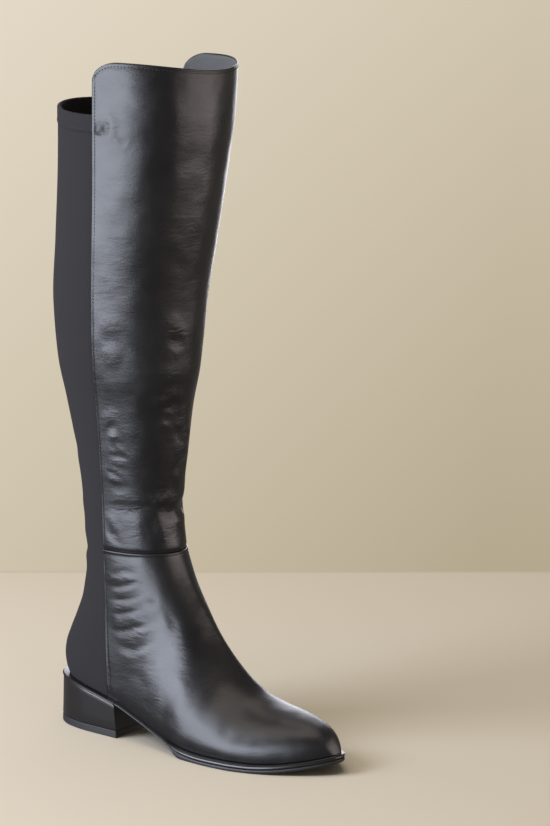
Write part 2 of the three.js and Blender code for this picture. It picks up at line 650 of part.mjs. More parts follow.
// Frame of the slider: side runs to the front, rise up the zip and out away from the boot.
function sliderFrame() {
  const middle = zipStrip(SLIDER_LEVEL, 0.5, 0);
  const above = zipStrip(SLIDER_LEVEL + SLIDER_LENGTH / 2, 0.5, 0);
  const centre = middle[0].clone().add(middle[1]).multiplyScalar(0.5);
  const rise = above[0].clone().add(above[1]).multiplyScalar(0.5).sub(centre).normalize();
  const side = middle[0].clone().sub(middle[1]).normalize();
  const out = side.clone().cross(rise).negate().normalize();
  side.copy(rise.clone().cross(out).negate()).normalize();
  return { centre, side, rise, out };
}

// A flat outline given depth, with its outline in (side, rise) or another pair of a frame's directions.
function extruded(outline, depth, across, up, through, origin) {
  const geometry = new THREE.ExtrudeGeometry(outline, { depth, bevelEnabled: false, curveSegments: 8 });
  const shift = new THREE.Matrix4().makeTranslation(0, 0, -depth / 2);
  const place = new THREE.Matrix4().makeBasis(across, up, through).setPosition(origin);
  geometry.applyMatrix4(place.multiply(shift));
  return geometry;
}

function asManifold(geometry) {
  const bare = geometry.clone();
  bare.deleteAttribute('normal');
  bare.deleteAttribute('uv');
  const merged = mergeVertices(bare, 1e-4);
  return new wasm.Manifold(new wasm.Mesh({
    numProp: 3,
    vertProperties: merged.getAttribute('position').array,
    triVerts: merged.index ? new Uint32Array(merged.index.array) : undefined,
  }));
}

function fromManifold(shape) {
  const mesh = shape.getMesh();
  const geometry = new THREE.BufferGeometry();
  geometry.setAttribute('position', new THREE.BufferAttribute(new Float32Array(mesh.vertProperties), 3));
  geometry.setIndex(new THREE.BufferAttribute(new Uint32Array(mesh.triVerts), 1));
  return geometry;
}

// The slider's underside clears the tape. Its outline is narrow at the foot, wide above the middle and
// narrows again at the top, in shares of half its width and of its length.
const SLIDER_FLOOR = -CHAIN_DEPTH;
const SLIDER_OUTLINE = [
  { wide: 0.62, up: -0.5 },
  { wide: 1.0, up: 0.0 },
  { wide: 1.0, up: 0.36 },
  { wide: 0.55, up: 0.5 },
];

// The slider: a body, and a bridge that the ring hangs in.
function sliderMesh() {
  const { centre, side, rise, out } = sliderFrame();
  const corner = (sign) => ({ wide, up }) => (
    new THREE.Vector2((sign * wide * SLIDER_WIDTH) / 2, up * SLIDER_LENGTH)
  );
  const outline = [...SLIDER_OUTLINE.map(corner(1)), ...[...SLIDER_OUTLINE].reverse().map(corner(-1))];
  const body = new THREE.Shape(outline);
  const bodyAt = centre.clone().addScaledVector(out, SLIDER_FLOOR + SLIDER_THICKNESS / 2);
  const bodyPart = asManifold(extruded(body, SLIDER_THICKNESS, side, rise, side.clone().cross(rise), bodyAt));
  const bridge = new THREE.Shape();
  const half = BRIDGE_LENGTH / 2;
  bridge.moveTo(-half, -BRIDGE_SINK);
  bridge.lineTo(half, -BRIDGE_SINK);
  bridge.absellipse(0, 0, half, BRIDGE_RISE, 0, Math.PI, false);
  bridge.closePath();
  const hole = new THREE.Path();
  hole.absellipse(0, 0, half - BRIDGE_WALL, BRIDGE_RISE - BRIDGE_WALL, Math.PI, 0, true);
  hole.closePath();
  bridge.holes.push(hole);
  const bridgeAt = centre.clone().addScaledVector(out, SLIDER_FLOOR + SLIDER_THICKNESS);
  const bridgePart = asManifold(extruded(bridge, BRIDGE_WIDTH, rise, out, rise.clone().cross(out), bridgeAt));
  return named('zip_slider', 0xcdbf9c, 0.3, 1, fromManifold(bodyPart.add(bridgePart)));
}

// The pull hangs plumb from the bridge. Its frame is level and upright, whatever the zip's slope there.
function pullFrame() {
  const { centre, side, out } = sliderFrame();
  const up = new THREE.Vector3(0, 0, 1);
  const flat = new THREE.Vector3(side.x, side.y, 0).normalize();
  const away = new THREE.Vector3(out.x, out.y, 0).normalize();
  const lift = SLIDER_FLOOR + SLIDER_THICKNESS + BRIDGE_RISE - BRIDGE_WALL - GAP - RING_WIRE / 2;
  return { pivot: centre.clone().addScaledVector(out, lift), side: flat, up, away };
}

// A wire ring: narrow where it passes the bridge, wide at its foot. The middle point of a rounded corner lies
// this share of the way along both of its edges.
const CORNER_MIDDLE = 0.29;
function pullRingMesh() {
  const { pivot, side, up, away } = pullFrame();
  const corners = [
    [-RING_TOP_WIDTH / 2, 0], [RING_TOP_WIDTH / 2, 0],
    [RING_FOOT_WIDTH / 2, -RING_LENGTH], [-RING_FOOT_WIDTH / 2, -RING_LENGTH],
  ].map(([x, y]) => new THREE.Vector2(x, y));
  const path = corners.flatMap((corner, i) => {
    const before = corners[(i + 3) % 4].clone().sub(corner).setLength(RING_CORNER);
    const after = corners[(i + 1) % 4].clone().sub(corner).setLength(RING_CORNER);
    const middle = before.clone().add(after).multiplyScalar(CORNER_MIDDLE);
    return [before, middle, after].map((offset) => corner.clone().add(offset));
  });
  const sides = stepsTo(8).slice(1);
  const rings = path.map((p, i) => {
    const [next, previous] = [path[(i + 1) % path.length], path[(i + path.length - 1) % path.length]];
    const along = next.clone().sub(previous).normalize();
    const normal = new THREE.Vector2(along.y, -along.x);
    return sides.map((t) => {
      const turn = t * 2 * Math.PI;
      const q = p.clone().addScaledVector(normal, (RING_WIRE / 2) * Math.cos(turn));
      return pivot.clone().addScaledVector(side, q.x).addScaledVector(up, q.y)
        .addScaledVector(away, (RING_WIRE / 2) * Math.sin(turn));
    });
  });
  const { points, triangles } = loft(rings, true);
  return solid('pull_ring', 0xcdbf9c, 0.3, 1, points, triangles);
}

// The leather pull: a strap folded round the ring's foot, its two plies lying together below it.
function pullStrapMesh() {
  const { pivot, side, up, away } = pullFrame();
  const outline = new THREE.Shape();
  const eye = RING_WIRE / 2 + GAP;
  const loop = eye + STRAP_PLY;
  const half = STRAP_THICKNESS / 2;
  const neck = Math.sqrt(loop * loop - half * half);
  outline.moveTo(half, -neck);
  outline.absarc(0, 0, loop, Math.atan2(-neck, half), Math.atan2(-neck, -half) + 2 * Math.PI, false);
  outline.lineTo(-half, -STRAP_LENGTH);
  outline.lineTo(half, -STRAP_LENGTH);
  outline.closePath();
  const hole = new THREE.Path();
  hole.absarc(0, 0, eye, 0, 2 * Math.PI, true);
  outline.holes.push(hole);
  const foot = pivot.clone().addScaledVector(up, -RING_LENGTH);
  const geometry = extruded(outline, STRAP_WIDTH, away, up, away.clone().cross(up), foot);
  return named('pull_strap', 0x19181a, 0.5, 0, fromManifold(asManifold(geometry)));
}

const boot = new THREE.Group();
boot.name = 'knee_high_boot';
const pieces = [
  upperMesh(), vampMesh(), shaftFrontMesh(), insoleMesh(), midsoleMesh(), outsoleMesh(), heelBlockMesh(),
  topPieceMesh(), zipTapeMesh(), zipChainMesh(), sliderMesh(), pullRingMesh(), pullStrapMesh(),
];
boot.add(...pieces);

// Stands the boot's box on the floor, centred on the origin.
const box = new THREE.Box3().setFromObject(boot, true);
const middle = box.getCenter(new THREE.Vector3());
boot.position.set(-middle.x, -middle.y, -box.min.z);
boot.updateMatrixWorld(true);

export default boot;
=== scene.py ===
# %% [markdown]
# # A knee-high boot, dressed round its solids
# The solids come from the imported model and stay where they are. Each visible surface is modelled again
# here in finer steps, worked out with the same form as the solids, so that every piece lies on its place.

# %% Load the fixed frame
import math

import bmesh
import bpy
import numpy as np
from mathutils import Matrix, Vector


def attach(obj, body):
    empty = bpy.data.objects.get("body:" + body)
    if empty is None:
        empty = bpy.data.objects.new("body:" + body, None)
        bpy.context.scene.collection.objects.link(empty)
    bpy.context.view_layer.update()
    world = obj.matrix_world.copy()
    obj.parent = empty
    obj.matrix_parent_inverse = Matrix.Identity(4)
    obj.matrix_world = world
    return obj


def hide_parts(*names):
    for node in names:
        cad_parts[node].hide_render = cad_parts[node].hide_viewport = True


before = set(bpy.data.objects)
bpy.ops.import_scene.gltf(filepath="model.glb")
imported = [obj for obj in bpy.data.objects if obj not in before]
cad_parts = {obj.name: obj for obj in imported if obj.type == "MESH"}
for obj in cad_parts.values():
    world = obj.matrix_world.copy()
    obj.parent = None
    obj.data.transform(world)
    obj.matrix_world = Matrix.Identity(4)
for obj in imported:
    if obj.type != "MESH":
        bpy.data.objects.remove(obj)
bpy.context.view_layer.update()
scene = bpy.context.scene

# %% [markdown]
# The boot's own sizes, in millimetres, are the ones a last maker would note: sole length, ball width, heel
# height, and the shaft's girth at several heights. They repeat the model's values.

# %% Sizes in millimetres
SOLE_LENGTH, BALL_WIDTH, HEEL_HEIGHT, TOE_SPRING, LEDGE = 270, 90, 43, 9.5, 2.3
ANKLE, COLLAR, FRONT_TOP = 154, 508, 542.5
SHAFT_LENGTH, SHAFT_WIDTH = 145, 135
HEM_DEPTH, COLLAR_DIP, FRONT_FALL = 13, 6, 6.8
FLAP_CORNER_WIDTH, FLAP_CORNER_HEIGHT = 22, 15
LEATHER, WALL, RECESS, HEM_STEP, SEAM_LIP, GAP = 1.3, 1.4, 0.8, 0.5, 0.7, 0.3
OUTSOLE, WELT, WAIST = 2.8, 3.4, 1.6
INSOLE, INSOLE_GAP, INSOLE_TOE_GAP = 3, 1, 5
HEEL_LENGTH, HEEL_FLARE, TOP_PIECE = 71, 2, 6
ZIP_CHANNEL, CHAIN_WIDTH = 9.6, 4.2
TUCK, TUCK_HEIGHT, BLEND_FROM, LEAN_TO = 2.4, 14, 0.16, 0.4
SOLE_STACK = OUTSOLE + WELT + 2 * GAP
UNDER_LEATHER = LEATHER + GAP
INNER = UNDER_LEATHER + WALL
HEM_LEVEL = COLLAR - HEM_DEPTH
TOE_X = SOLE_LENGTH - LEDGE
# The model is centred on its box: this is how far the last's heel lies from the origin.
SHIFT = np.array([-134.0, -6.739, 0.0])

OUTLINE = {
    "along": [0, 0.03, 0.08, 0.15, 0.26, 0.36, 0.46, 0.56, 0.64, 0.71, 0.77, 0.83, 0.89, 0.94, 0.98, 1],
    "outer": [0, 0.205, 0.286, 0.322, 0.332, 0.352, 0.4, 0.458, 0.468, 0.455, 0.412, 0.343, 0.245, 0.14,
              0.03, -0.09],
    "inner": [0, 0.205, 0.286, 0.317, 0.306, 0.266, 0.256, 0.317, 0.41, 0.475, 0.5, 0.475, 0.404, 0.312,
              0.205, 0.09],
}
RISE = {
    "along": [0, 0.12, 0.26, 0.36, 0.44, 0.52, 0.62, 0.77, 0.84, 0.91, 0.96, 1],
    "heel": [1, 0.86, 0.63, 0.38, 0.19, 0.06, 0, 0, 0, 0, 0, 0],
    "toe": [0, 0, 0, 0, 0, 0, 0, 0, 0.12, 0.42, 0.72, 1],
}
STEPS = {
    "along": [0, 0.46, 0.48, 0.5, 0.52, 0.54, 0.56, 1],
    "waist": [1, 1, 0.96, 0.84, 0.3, 0.04, 0, 0],
    "welt": [0, 0, 0.1, 0.35, 0.7, 0.95, 1, 1],
}
RIDGE = {
    "along": [0, 0.3, 0.37, 0.4163, 0.455, 0.505, 0.548, 0.585, 0.624, 0.668, 0.71, 0.765, 0.83, 0.89,
              0.93, 0.96, 0.978, 0.988],
    "up": [3.6, 1.66, 1.25, 1, 0.845, 0.705, 0.585, 0.502, 0.426, 0.36, 0.317, 0.288, 0.267, 0.245,
           0.221, 0.187, 0.143, 0.103],
    "swing": [0.05, 0.05, 0.05, 0.06, 0.088, 0.118, 0.136, 0.146, 0.15, 0.15, 0.149, 0.146, 0.138, 0.124,
              0.108, 0.097, 0.09, 0.09],
    "full": [0.1, 0.1, 0, -0.1, -0.2, -0.28, -0.3, -0.3, -0.28, -0.24, -0.18, -0.06, 0.08, 0.18,
             0.24, 0.26, 0.28, 0.28],
}
HEEL_CURVE = {
    "up": [0, 0.06, 0.14, 0.22, 0.33, 0.47, 0.61, 0.76, 0.89, 1],
    "back": [0.015, 0.006, 0.002, 0.006, 0.022, 0.047, 0.068, 0.077, 0.08, 0.0815],
}
LEG = {
    "up": [0, 0.1, 0.21, 0.33, 0.42, 0.55, 0.7, 0.86, 1, 1.1],
    "centre": [0.249, 0.237, 0.237, 0.231, 0.23, 0.234, 0.259, 0.284, 0.3, 0.305],
    "swing": [0.05, 0.046, 0.044, 0.043, 0.043, 0.045, 0.05, 0.06, 0.065, 0.065],
    "length": [0.624, 0.614, 0.671, 0.762, 0.847, 0.89, 0.914, 0.945, 0.983, 0.99],
    "width": [0.489, 0.504, 0.563, 0.652, 0.741, 0.83, 0.9, 0.96, 1, 1.014],
}
SEAMS = {
    "up": [0, 0.2, 0.5, 0.8, 1, 1.12, 1.25, 1.4, 1.6, 1.8, 2.1],
    "outer": [0.228, 0.226, 0.222, 0.222, 0.224, 0.226, 0.234, 0.246, 0.269, 0.293, 0.315],
    "zip": [0.322, 0.307, 0.283, 0.264, 0.252, 0.243, 0.239, 0.24, 0.237, 0.226, 0.209],
}

# %% [markdown]
# The tables give the form at a few places only. A smooth curve runs through them, and it never swings past
# a row, so that no bump shows that a last maker didn't put there.

# %% Curves through the tables
def mix(a, b, t):
    return a + (b - a) * t


def size(ways):
    return np.linalg.norm(ways, axis=-1)


def unit(ways):
    return ways / size(ways)[..., None]


def ease(t):
    t = np.clip(t, 0, 1)
    return t * t * (3 - 2 * t)


def curve(table, x, y):
    """A smooth curve through two columns of a table, with no overshoot between its rows."""
    xs, ys = np.array(table[x], float), np.array(table[y], float)
    slope = np.diff(ys) / np.diff(xs)
    before, after = slope[:-1], slope[1:]
    level = before * after <= 0
    middle = np.where(level, 0, 2 * before * after / np.where(level, 1, before + after))
    tangent = np.concatenate([slope[:1], middle, slope[-1:]])

    def at(v):
        v = np.clip(v, xs[0], xs[-1])
        i = np.clip(np.searchsorted(xs, v) - 1, 0, len(xs) - 2)
        span = xs[i + 1] - xs[i]
        t = (v - xs[i]) / span
        return ((2 * t**3 - 3 * t**2 + 1) * ys[i] + (t**3 - 2 * t**2 + t) * span * tangent[i]
                + (3 * t**2 - 2 * t**3) * ys[i + 1] + (t**3 - t**2) * span * tangent[i + 1])

    return at


OUTLINE["turn"] = [math.acos(1 - 2 * a) for a in OUTLINE["along"]]
outline = {side: curve(OUTLINE, "turn", side) for side in ("outer", "inner")}
heel_rise, toe_rise = curve(RISE, "along", "heel"), curve(RISE, "along", "toe")
waist_share, welt_share = curve(STEPS, "along", "waist"), curve(STEPS, "along", "welt")
ridge_up, ridge_swing, ridge_full = (curve(RIDGE, "along", c) for c in ("up", "swing", "full"))
heel_back = curve(HEEL_CURVE, "up", "back")
leg_centre, leg_swing, leg_length, leg_width = (
    curve(LEG, "up", c) for c in ("centre", "swing", "length", "width"))
outer_seam, zip_line = curve(SEAMS, "up", "outer"), curve(SEAMS, "up", "zip")


# %% [markdown]
# The form is the surface of the foot and leg that the leather lies on. An angle goes round it, 0 at the
# front and positive on the outer side, and a level goes up it. Under the ankle the levels bend to the seat.

# %% The boot's form
def seat(x):
    along = x / SOLE_LENGTH
    return heel_rise(along) * (HEEL_HEIGHT - SOLE_STACK) + toe_rise(along) * TOE_SPRING + SOLE_STACK


def underside(x):
    along = x / SOLE_LENGTH
    return mix(toe_rise(along) * TOE_SPRING, seat(x) - GAP - WAIST, waist_share(along))


def leg_share(height):
    return (height - ANKLE) / (COLLAR - ANKLE)


def ridge_level(x):
    rise = ridge_up(x / SOLE_LENGTH) * ANKLE
    return (rise - seat(x)) / (1 - seat(x) / ANKLE)


def reach(level):
    """Back and front of the boot at each level."""
    near, far = np.zeros_like(level), np.full_like(level, TOE_X)
    for _ in range(30):
        middle = (near + far) / 2
        above = ridge_level(middle) > level
        near, far = np.where(above, middle, near), np.where(above, far, middle)
    ridge = np.where(level <= ridge_level(TOE_X), TOE_X, (near + far) / 2)
    up = np.maximum(0, leg_share(level))
    centre, half = leg_centre(up) * SOLE_LENGTH, leg_length(up) * SHAFT_LENGTH / 2
    foot = level < ANKLE
    back = np.where(foot, heel_back(level / ANKLE) * SOLE_LENGTH, centre - half)
    return back, np.where(foot, ridge, centre + half)


def foot_y(outer, x, level, back, front):
    lean = back * (1 - ease(x / (LEAN_TO * SOLE_LENGTH)))
    turn = np.arccos(1 - 2 * np.clip((x - lean) / TOE_X, 0, 1))
    half = np.where(outer, outline["outer"](turn), outline["inner"](turn))
    width = half * (BALL_WIDTH - 2 * LEDGE)
    above = level * (1 - seat(x) / ANKLE)
    tuck = TUCK * (1 - np.clip(above / TUCK_HEIGHT, 0, 1)) ** 2
    arch = np.sqrt(1 - np.clip(level / ridge_level(x), 0, 1) ** 2)
    full = arch * (1 + ridge_full(x / SOLE_LENGTH) * (1 - arch))
    swing = ridge_swing(front / SOLE_LENGTH) * BALL_WIDTH * (1 - full)
    wide = (width - tuck * np.maximum(width, 0) / (BALL_WIDTH / 2)) * full
    return np.where(outer, swing - wide, swing + wide)


def form(angle, level):
    """Points of the boot's outer form, in millimetres from the back of the heel."""
    angle, level = np.broadcast_arrays(np.asarray(angle, float), np.asarray(level, float))
    back, front = reach(level)
    x = mix(back, front, (1 + np.cos(angle)) / 2)
    up = np.maximum(0, leg_share(level))
    leg = leg_swing(up) * BALL_WIDTH - np.sin(angle) * leg_width(up) * SHAFT_WIDTH / 2
    blend = ease((level / ANKLE - BLEND_FROM) / (1 - BLEND_FROM))
    y = mix(foot_y(np.sin(angle) >= 0, x, level, back, front), leg, blend)
    return np.stack([x, y, level + seat(x) * np.maximum(0, 1 - level / ANKLE)], -1)


def outward(angle, level):
    """Unit vectors square to the form. Along the bottom edge they lie flat."""
    angle, level = np.broadcast_arrays(np.asarray(angle, float), np.asarray(level, float))
    low = level <= 0
    around = form(angle + 0.02, level) - form(angle - 0.02, level)
    rise = form(angle, level + 1) - form(angle, np.maximum(0, level - 1))
    rise = np.where(low[..., None], [0, 0, 1], rise)
    out = -np.cross(around, rise)
    out[..., 2] = np.where(low, 0, out[..., 2])
    return unit(out)


def inside(angle, level, depth):
    """Points of the form moved inwards. The bottom edge stays on the seat."""
    depth = np.asarray(depth, float)
    point = form(angle, level) - outward(angle, level) * depth[..., None]
    low = np.broadcast_to(np.asarray(level) <= 0, point.shape[:-1])
    point[..., 2] = np.where(low, seat(point[..., 0]), point[..., 2])
    return point

# %% [markdown]
# The panels meet along two lines: the outer seam, and the zip on the inner side. Each panel is laid out from
# one line to the other, and its rows sink towards the sides as the collar does.

# %% Seams and the panels between them
def seam_share(height):
    return np.where(height < ANKLE, height / ANKLE, 1 + leg_share(height))


def angle_at(x, level, side):
    back, front = reach(np.asarray(level, float))
    return side * np.arccos(np.clip(2 * (x - back) / (front - back) - 1, -1, 1))


def zip_angle(level, offset):
    """The angle that lies offset in front of the zip's middle, on the inner side."""
    return angle_at(zip_line(seam_share(level)) * SOLE_LENGTH + offset, level, -1)


def seam_angle(level, offset=0.0):
    """The angle of the leather's rear edge on the outer side."""
    return angle_at(outer_seam(seam_share(level)) * SOLE_LENGTH + offset, level, 1)


def dip(nominal):
    """How far the sides of a row hang below its nominal level, as the collar's dip grows up the leg."""
    share = np.clip((nominal - ANKLE) / (HEM_LEVEL - ANKLE), 0, 1)
    return share**4 * COLLAR_DIP


def lowered(nominal, angle):
    return nominal - dip(nominal) * np.sin(angle) ** 2


def front_angle(nominal, share):
    """Goes round the leather, from the zip past the toe or shin to the outer seam."""
    side = np.minimum(nominal, COLLAR) - dip(nominal)
    return mix(zip_angle(side, ZIP_CHANNEL / 2), seam_angle(side), share)


def back_angle(nominal, share, tuck=0.0):
    """Goes round the stretch back, from the outer seam to the zip, and tuck further at both ends."""
    side = nominal - dip(nominal)
    return mix(seam_angle(side, tuck - GAP), 2 * math.pi + zip_angle(side, tuck - ZIP_CHANNEL / 2), share)


def front_level(nominal, angle, share):
    """Levels of the leather. Above the collar they reach up to the front's rounded top edge."""
    top_side = np.full_like(share, FRONT_TOP)
    span = seam_angle(top_side) - zip_angle(top_side, ZIP_CHANNEL / 2)
    from_edge = np.minimum(share, 1 - share) * span * SHAFT_WIDTH / 2
    left = np.maximum(0, 1 - from_edge / FLAP_CORNER_WIDTH)
    corner = FLAP_CORNER_HEIGHT * (1 - np.sqrt(1 - left**2))
    top = FRONT_TOP - FRONT_FALL * np.maximum(0, np.cos(angle)) ** 3 - corner
    rise = np.clip((nominal - COLLAR) / (FRONT_TOP - COLLAR), 0, 1)
    return mix(lowered(np.minimum(nominal, COLLAR), angle), top, rise)


# %% [markdown]
# Every surface starts as a flat bmesh grid, and each of its points is then moved to its place, which keeps
# the faces even. The steps come closer together near an edge, where leather turns over within a millimetre.

# %% Helpers that lay out a surface
EDGE_STEPS = (0, 0.2, 0.5, 0.9, 1.5, 2.1, 2.7, 3.4)


def stations(length, count, low=EDGE_STEPS, high=EDGE_STEPS):
    """Shares of a length in millimetres, even in its middle and closer towards both ends."""
    low, high = np.array(low) / length, 1 - np.array(high)[::-1] / length
    return np.concatenate([low, np.linspace(low[-1], high[0], count)[1:-1], high])


def grid(up, around):
    """Shares of the way up and round a grid, as two tables."""
    return np.meshgrid(up, around, indexing="ij")


def grid_mesh(points, flat=None, creased=None, closed=False, capped=False, way=None):
    """A bmesh grid laid on a table of points, with each point's flat place as its UV.

    A sheet's faces are turned so that its first one looks the way given.
    """
    rows, columns = points.shape[:2]
    bm = bmesh.new()
    bmesh.ops.create_grid(bm, x_segments=columns - 1, y_segments=rows - 1, size=0.5)
    steps = [rows - 1, columns - 1]
    place = [tuple(round((c + 0.5) * n) for c, n in zip((v.co.y, v.co.x), steps)) for v in bm.verts]
    if flat is not None:
        layer = bm.loops.layers.uv.new("flat")
        for face in bm.faces:
            for loop in face.loops:
                loop[layer].uv = flat[place[loop.vert.index]] / 1000
    if creased is not None:
        layer = bm.verts.layers.float.new("creased")
        for vert, at in zip(bm.verts, place):
            vert[layer] = creased[at]
    metres = (points + SHIFT) / 1000
    for vert, at in zip(bm.verts, place):
        vert.co = metres[at]
    if closed or capped:
        bmesh.ops.remove_doubles(bm, verts=bm.verts, dist=1e-6)
    if capped:
        bmesh.ops.holes_fill(bm, edges=[e for e in bm.edges if e.is_boundary])
    if closed or capped:
        bmesh.ops.recalc_face_normals(bm, faces=bm.faces)
    if way is not None:
        bm.faces.ensure_lookup_table()
        bm.normal_update()
        if bm.faces[0].normal.dot(Vector(way)) < 0:
            bmesh.ops.reverse_faces(bm, faces=bm.faces)
    return bm


def put(name, data):
    thing = bpy.data.objects.new(name, data)
    scene.collection.objects.link(thing)
    return thing


def piece(name, bm, materials, replaced=(), body="boot", smooth=35):
    """Makes a finished object of a bmesh: its materials, its body, and the solids it stands for."""
    mesh = bpy.data.meshes.new(name)
    bm.to_mesh(mesh)
    bm.free()
    mesh.shade_smooth()
    mesh.set_sharp_from_angle(angle=math.radians(smooth))
    thing = put(name, mesh)
    for material in materials:
        mesh.materials.append(material)
    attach(thing, body)
    if replaced:
        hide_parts(*replaced)
    print(name, len(mesh.polygons), "faces")
    return thing


def thicken(thing, depth, offset=0):
    """Gives a sheet a wall behind its face. The wall's back can take a later material."""
    wall = thing.modifiers.new("wall", "SOLIDIFY")
    wall.thickness = depth / 1000
    wall.offset = -1
    wall.material_offset = offset
    wall.use_quality_normals = True


# %% [markdown]
# A colour is written as it looks on a screen, and a shader wants it linear. A material is a short list of
# nodes, each added with its settings and links in one step.

# %% Helpers for materials
def colour(code):
    """An sRGB hex colour as the linear one that a shader wants."""
    parts = [int(code[i:i + 2], 16) / 255 for i in (1, 3, 5)]
    return [c / 12.92 if c <= 0.04045 else ((c + 0.055) / 1.055) ** 2.4 for c in parts] + [1]


def add(tree, kind, inputs, **settings):
    """Adds a node, sets it and links it. An input that is a socket is linked, and a value is set."""
    made = tree.nodes.new("ShaderNode" + kind)
    for name, value in settings.items():
        setattr(made, name, value)
    for name, value in inputs.items():
        socket = made.inputs[name]
        if isinstance(value, bpy.types.NodeSocket):
            tree.links.new(value, socket)
        else:
            socket.default_value = value
    return made.outputs


def material(name, **values):
    """A new material with its shader's constant values set on the shader's own sockets."""
    made = bpy.data.materials.new(name)
    made.use_nodes = True
    shader = made.node_tree.nodes["Principled BSDF"]
    for key, value in values.items():
        shader.inputs[key.replace("_", " ")].default_value = value
    return made, made.node_tree, shader.inputs


# %% [markdown]
# Smooth calf leather is dyed black, pressed and waxed. Its pores are a fraction of a millimetre apart, which
# is too fine for the picture, so they are drawn about a millimetre apart. The wax gives broad soft
# reflections: a middling roughness that changes in patches, and turns duller and finely lined in the folds.

# %% Waxed calf leather
PORES_PER_METRE = 900.0
PATCHES_PER_METRE = 16.0
LINES_PER_METRE = 240.0
SWELLS_PER_METRE = 38.0


def calf_leather():
    made, tree, shader = material("waxed_black_calf", IOR=1.47)
    place = add(tree, "TexCoord", {})["Object"]
    fold = add(tree, "Attribute", {}, attribute_name="creased")["Fac"]
    patch = add(tree, "TexNoise", {"Vector": place, "Scale": PATCHES_PER_METRE, "Detail": 9.0,
                                             "Roughness": 0.65})["Fac"]
    tone = add(tree, "MixRGB", {"Fac": patch, "Color1": colour("#080708"),
                                "Color2": colour("#0f0e0f")})
    tree.links.new(tone["Color"], shader["Base Color"])
    dull = add(tree, "MapRange", {"Value": patch, "From Min": 0.3, "From Max": 0.7,
                                            "To Min": 0.26, "To Max": 0.42})["Result"]
    worn = add(tree, "Math", {0: fold, 1: 0.06, 2: dull}, operation="MULTIPLY_ADD")["Value"]
    tree.links.new(worn, shader["Roughness"])
    squeezed = add(tree, "Mapping", {"Vector": place, "Scale": (0.35, 0.35, 1.0)})["Vector"]
    lines = add(tree, "TexNoise", {"Vector": squeezed, "Scale": LINES_PER_METRE, "Detail": 3.0,
                                             "Distortion": 0.6})["Fac"]
    strength = add(tree, "MapRange", {"Value": fold, "To Min": 0.12, "To Max": 0.6})["Result"]
    swell = add(tree, "TexNoise", {"Vector": place, "Scale": SWELLS_PER_METRE, "Detail": 1.0})["Fac"]
    hand = add(tree, "Bump", {"Height": swell, "Strength": 0.6, "Distance": 0.002})["Normal"]
    low = add(tree, "Bump", {"Height": lines, "Normal": hand, "Strength": strength,
                                       "Distance": 0.0012})["Normal"]
    pores = add(tree, "TexVoronoi", {"Vector": place, "Scale": PORES_PER_METRE})["Distance"]
    fine = add(tree, "Bump", {"Height": pores, "Normal": low, "Strength": 0.16, "Distance": 0.00015})
    tree.links.new(fine["Normal"], shader["Normal"])
    return made


# %% [markdown]
# The other finishes are each one dye, paint or metal over a fine grain, and what tells them apart is their
# gloss. Knit, tape and lining are matt, and suede is matt with a faint sheen from its raised fibres. Rubber
# is dull, the painted edges and the nylon coil are satin, and the zip's zinc is plated a pale gold. Knit and
# weave are drawn coarser than life, or they would vanish in the picture.

# %% Dyed, painted and plated finishes
def patterned(tree, shader, code, pattern, darkest, lightest, strength, depth):
    """Lets a pattern vary a colour and raise the surface."""
    value = add(tree, "MapRange", {"Value": pattern, "To Min": darkest, "To Max": lightest})["Result"]
    shade = add(tree, "HueSaturation", {"Color": colour(code), "Value": value})["Color"]
    bump = add(tree, "Bump", {"Height": pattern, "Strength": strength, "Distance": depth})["Normal"]
    tree.links.new(shade, shader["Base Color"])
    tree.links.new(bump, shader["Normal"])


def grained(name, code, roughness, per_metre, depth, **values):
    """One colour that varies a little, over a fine grain."""
    made, tree, shader = material(name, Roughness=roughness, **values)
    place = add(tree, "TexCoord", {})["Object"]
    grain = add(tree, "TexNoise", {"Vector": place, "Scale": per_metre, "Detail": 4.0})["Fac"]
    patterned(tree, shader, code, grain, 0.75, 1.25, 0.3, depth)
    return made


WAVE_TO_TURN = 0.314  # the scale at which the wave texture turns once in one unit


def ribbed(name, code, roughness, rib, row, depth, **values):
    """A knit or weave that follows the piece: ribs up it and rows across it, both in millimetres."""
    made, tree, shader = material(name, Roughness=roughness, **values)
    flat = add(tree, "UVMap", {}, uv_map="flat")["UV"]
    turns = add(tree, "Mapping", {"Vector": flat, "Scale": (1000 / rib, 1000 / row, 1.0)})["Vector"]
    ribs, rows = (add(tree, "TexWave", {"Vector": turns, "Scale": WAVE_TO_TURN, "Distortion": 0.4},
                      bands_direction=way)["Fac"] for way in "XY")
    knit = add(tree, "Math", {0: ribs, 1: rows}, operation="MULTIPLY")["Value"]
    patterned(tree, shader, code, knit, 0.86, 1.12, 0.35, depth)
    return made


CALF = calf_leather()
STRETCH = ribbed("knitted_stretch_cloth", "#1a181a", 0.92, 0.9, 0.9, 0.0002, Specular_IOR_Level=0.25)
FLESH = grained("suede_flesh_side", "#4c4d4e", 0.95, 500.0, 0.0002, Sheen_Weight=0.15)
LINING = grained("twill_lining", "#121010", 0.9, 800.0, 0.0001)
EDGE_PAINT = grained("painted_leather_edge", "#151313", 0.28, 300.0, 0.00006)
RUBBER = grained("moulded_rubber", "#151517", 0.55, 400.0, 0.00008)
TAPE = ribbed("woven_zip_tape", "#161618", 0.85, 0.7, 0.5, 0.0002)
COIL = grained("nylon_coil", "#111113", 0.38, 900.0, 0.00002)
THREAD = grained("waxed_polyester_thread", "#0b0b0c", 0.5, 2500.0, 0.00005)
METAL = grained("pale_gold_plated_zinc", "#d9cdab", 0.22, 300.0, 0.00001, Metallic=1.0)
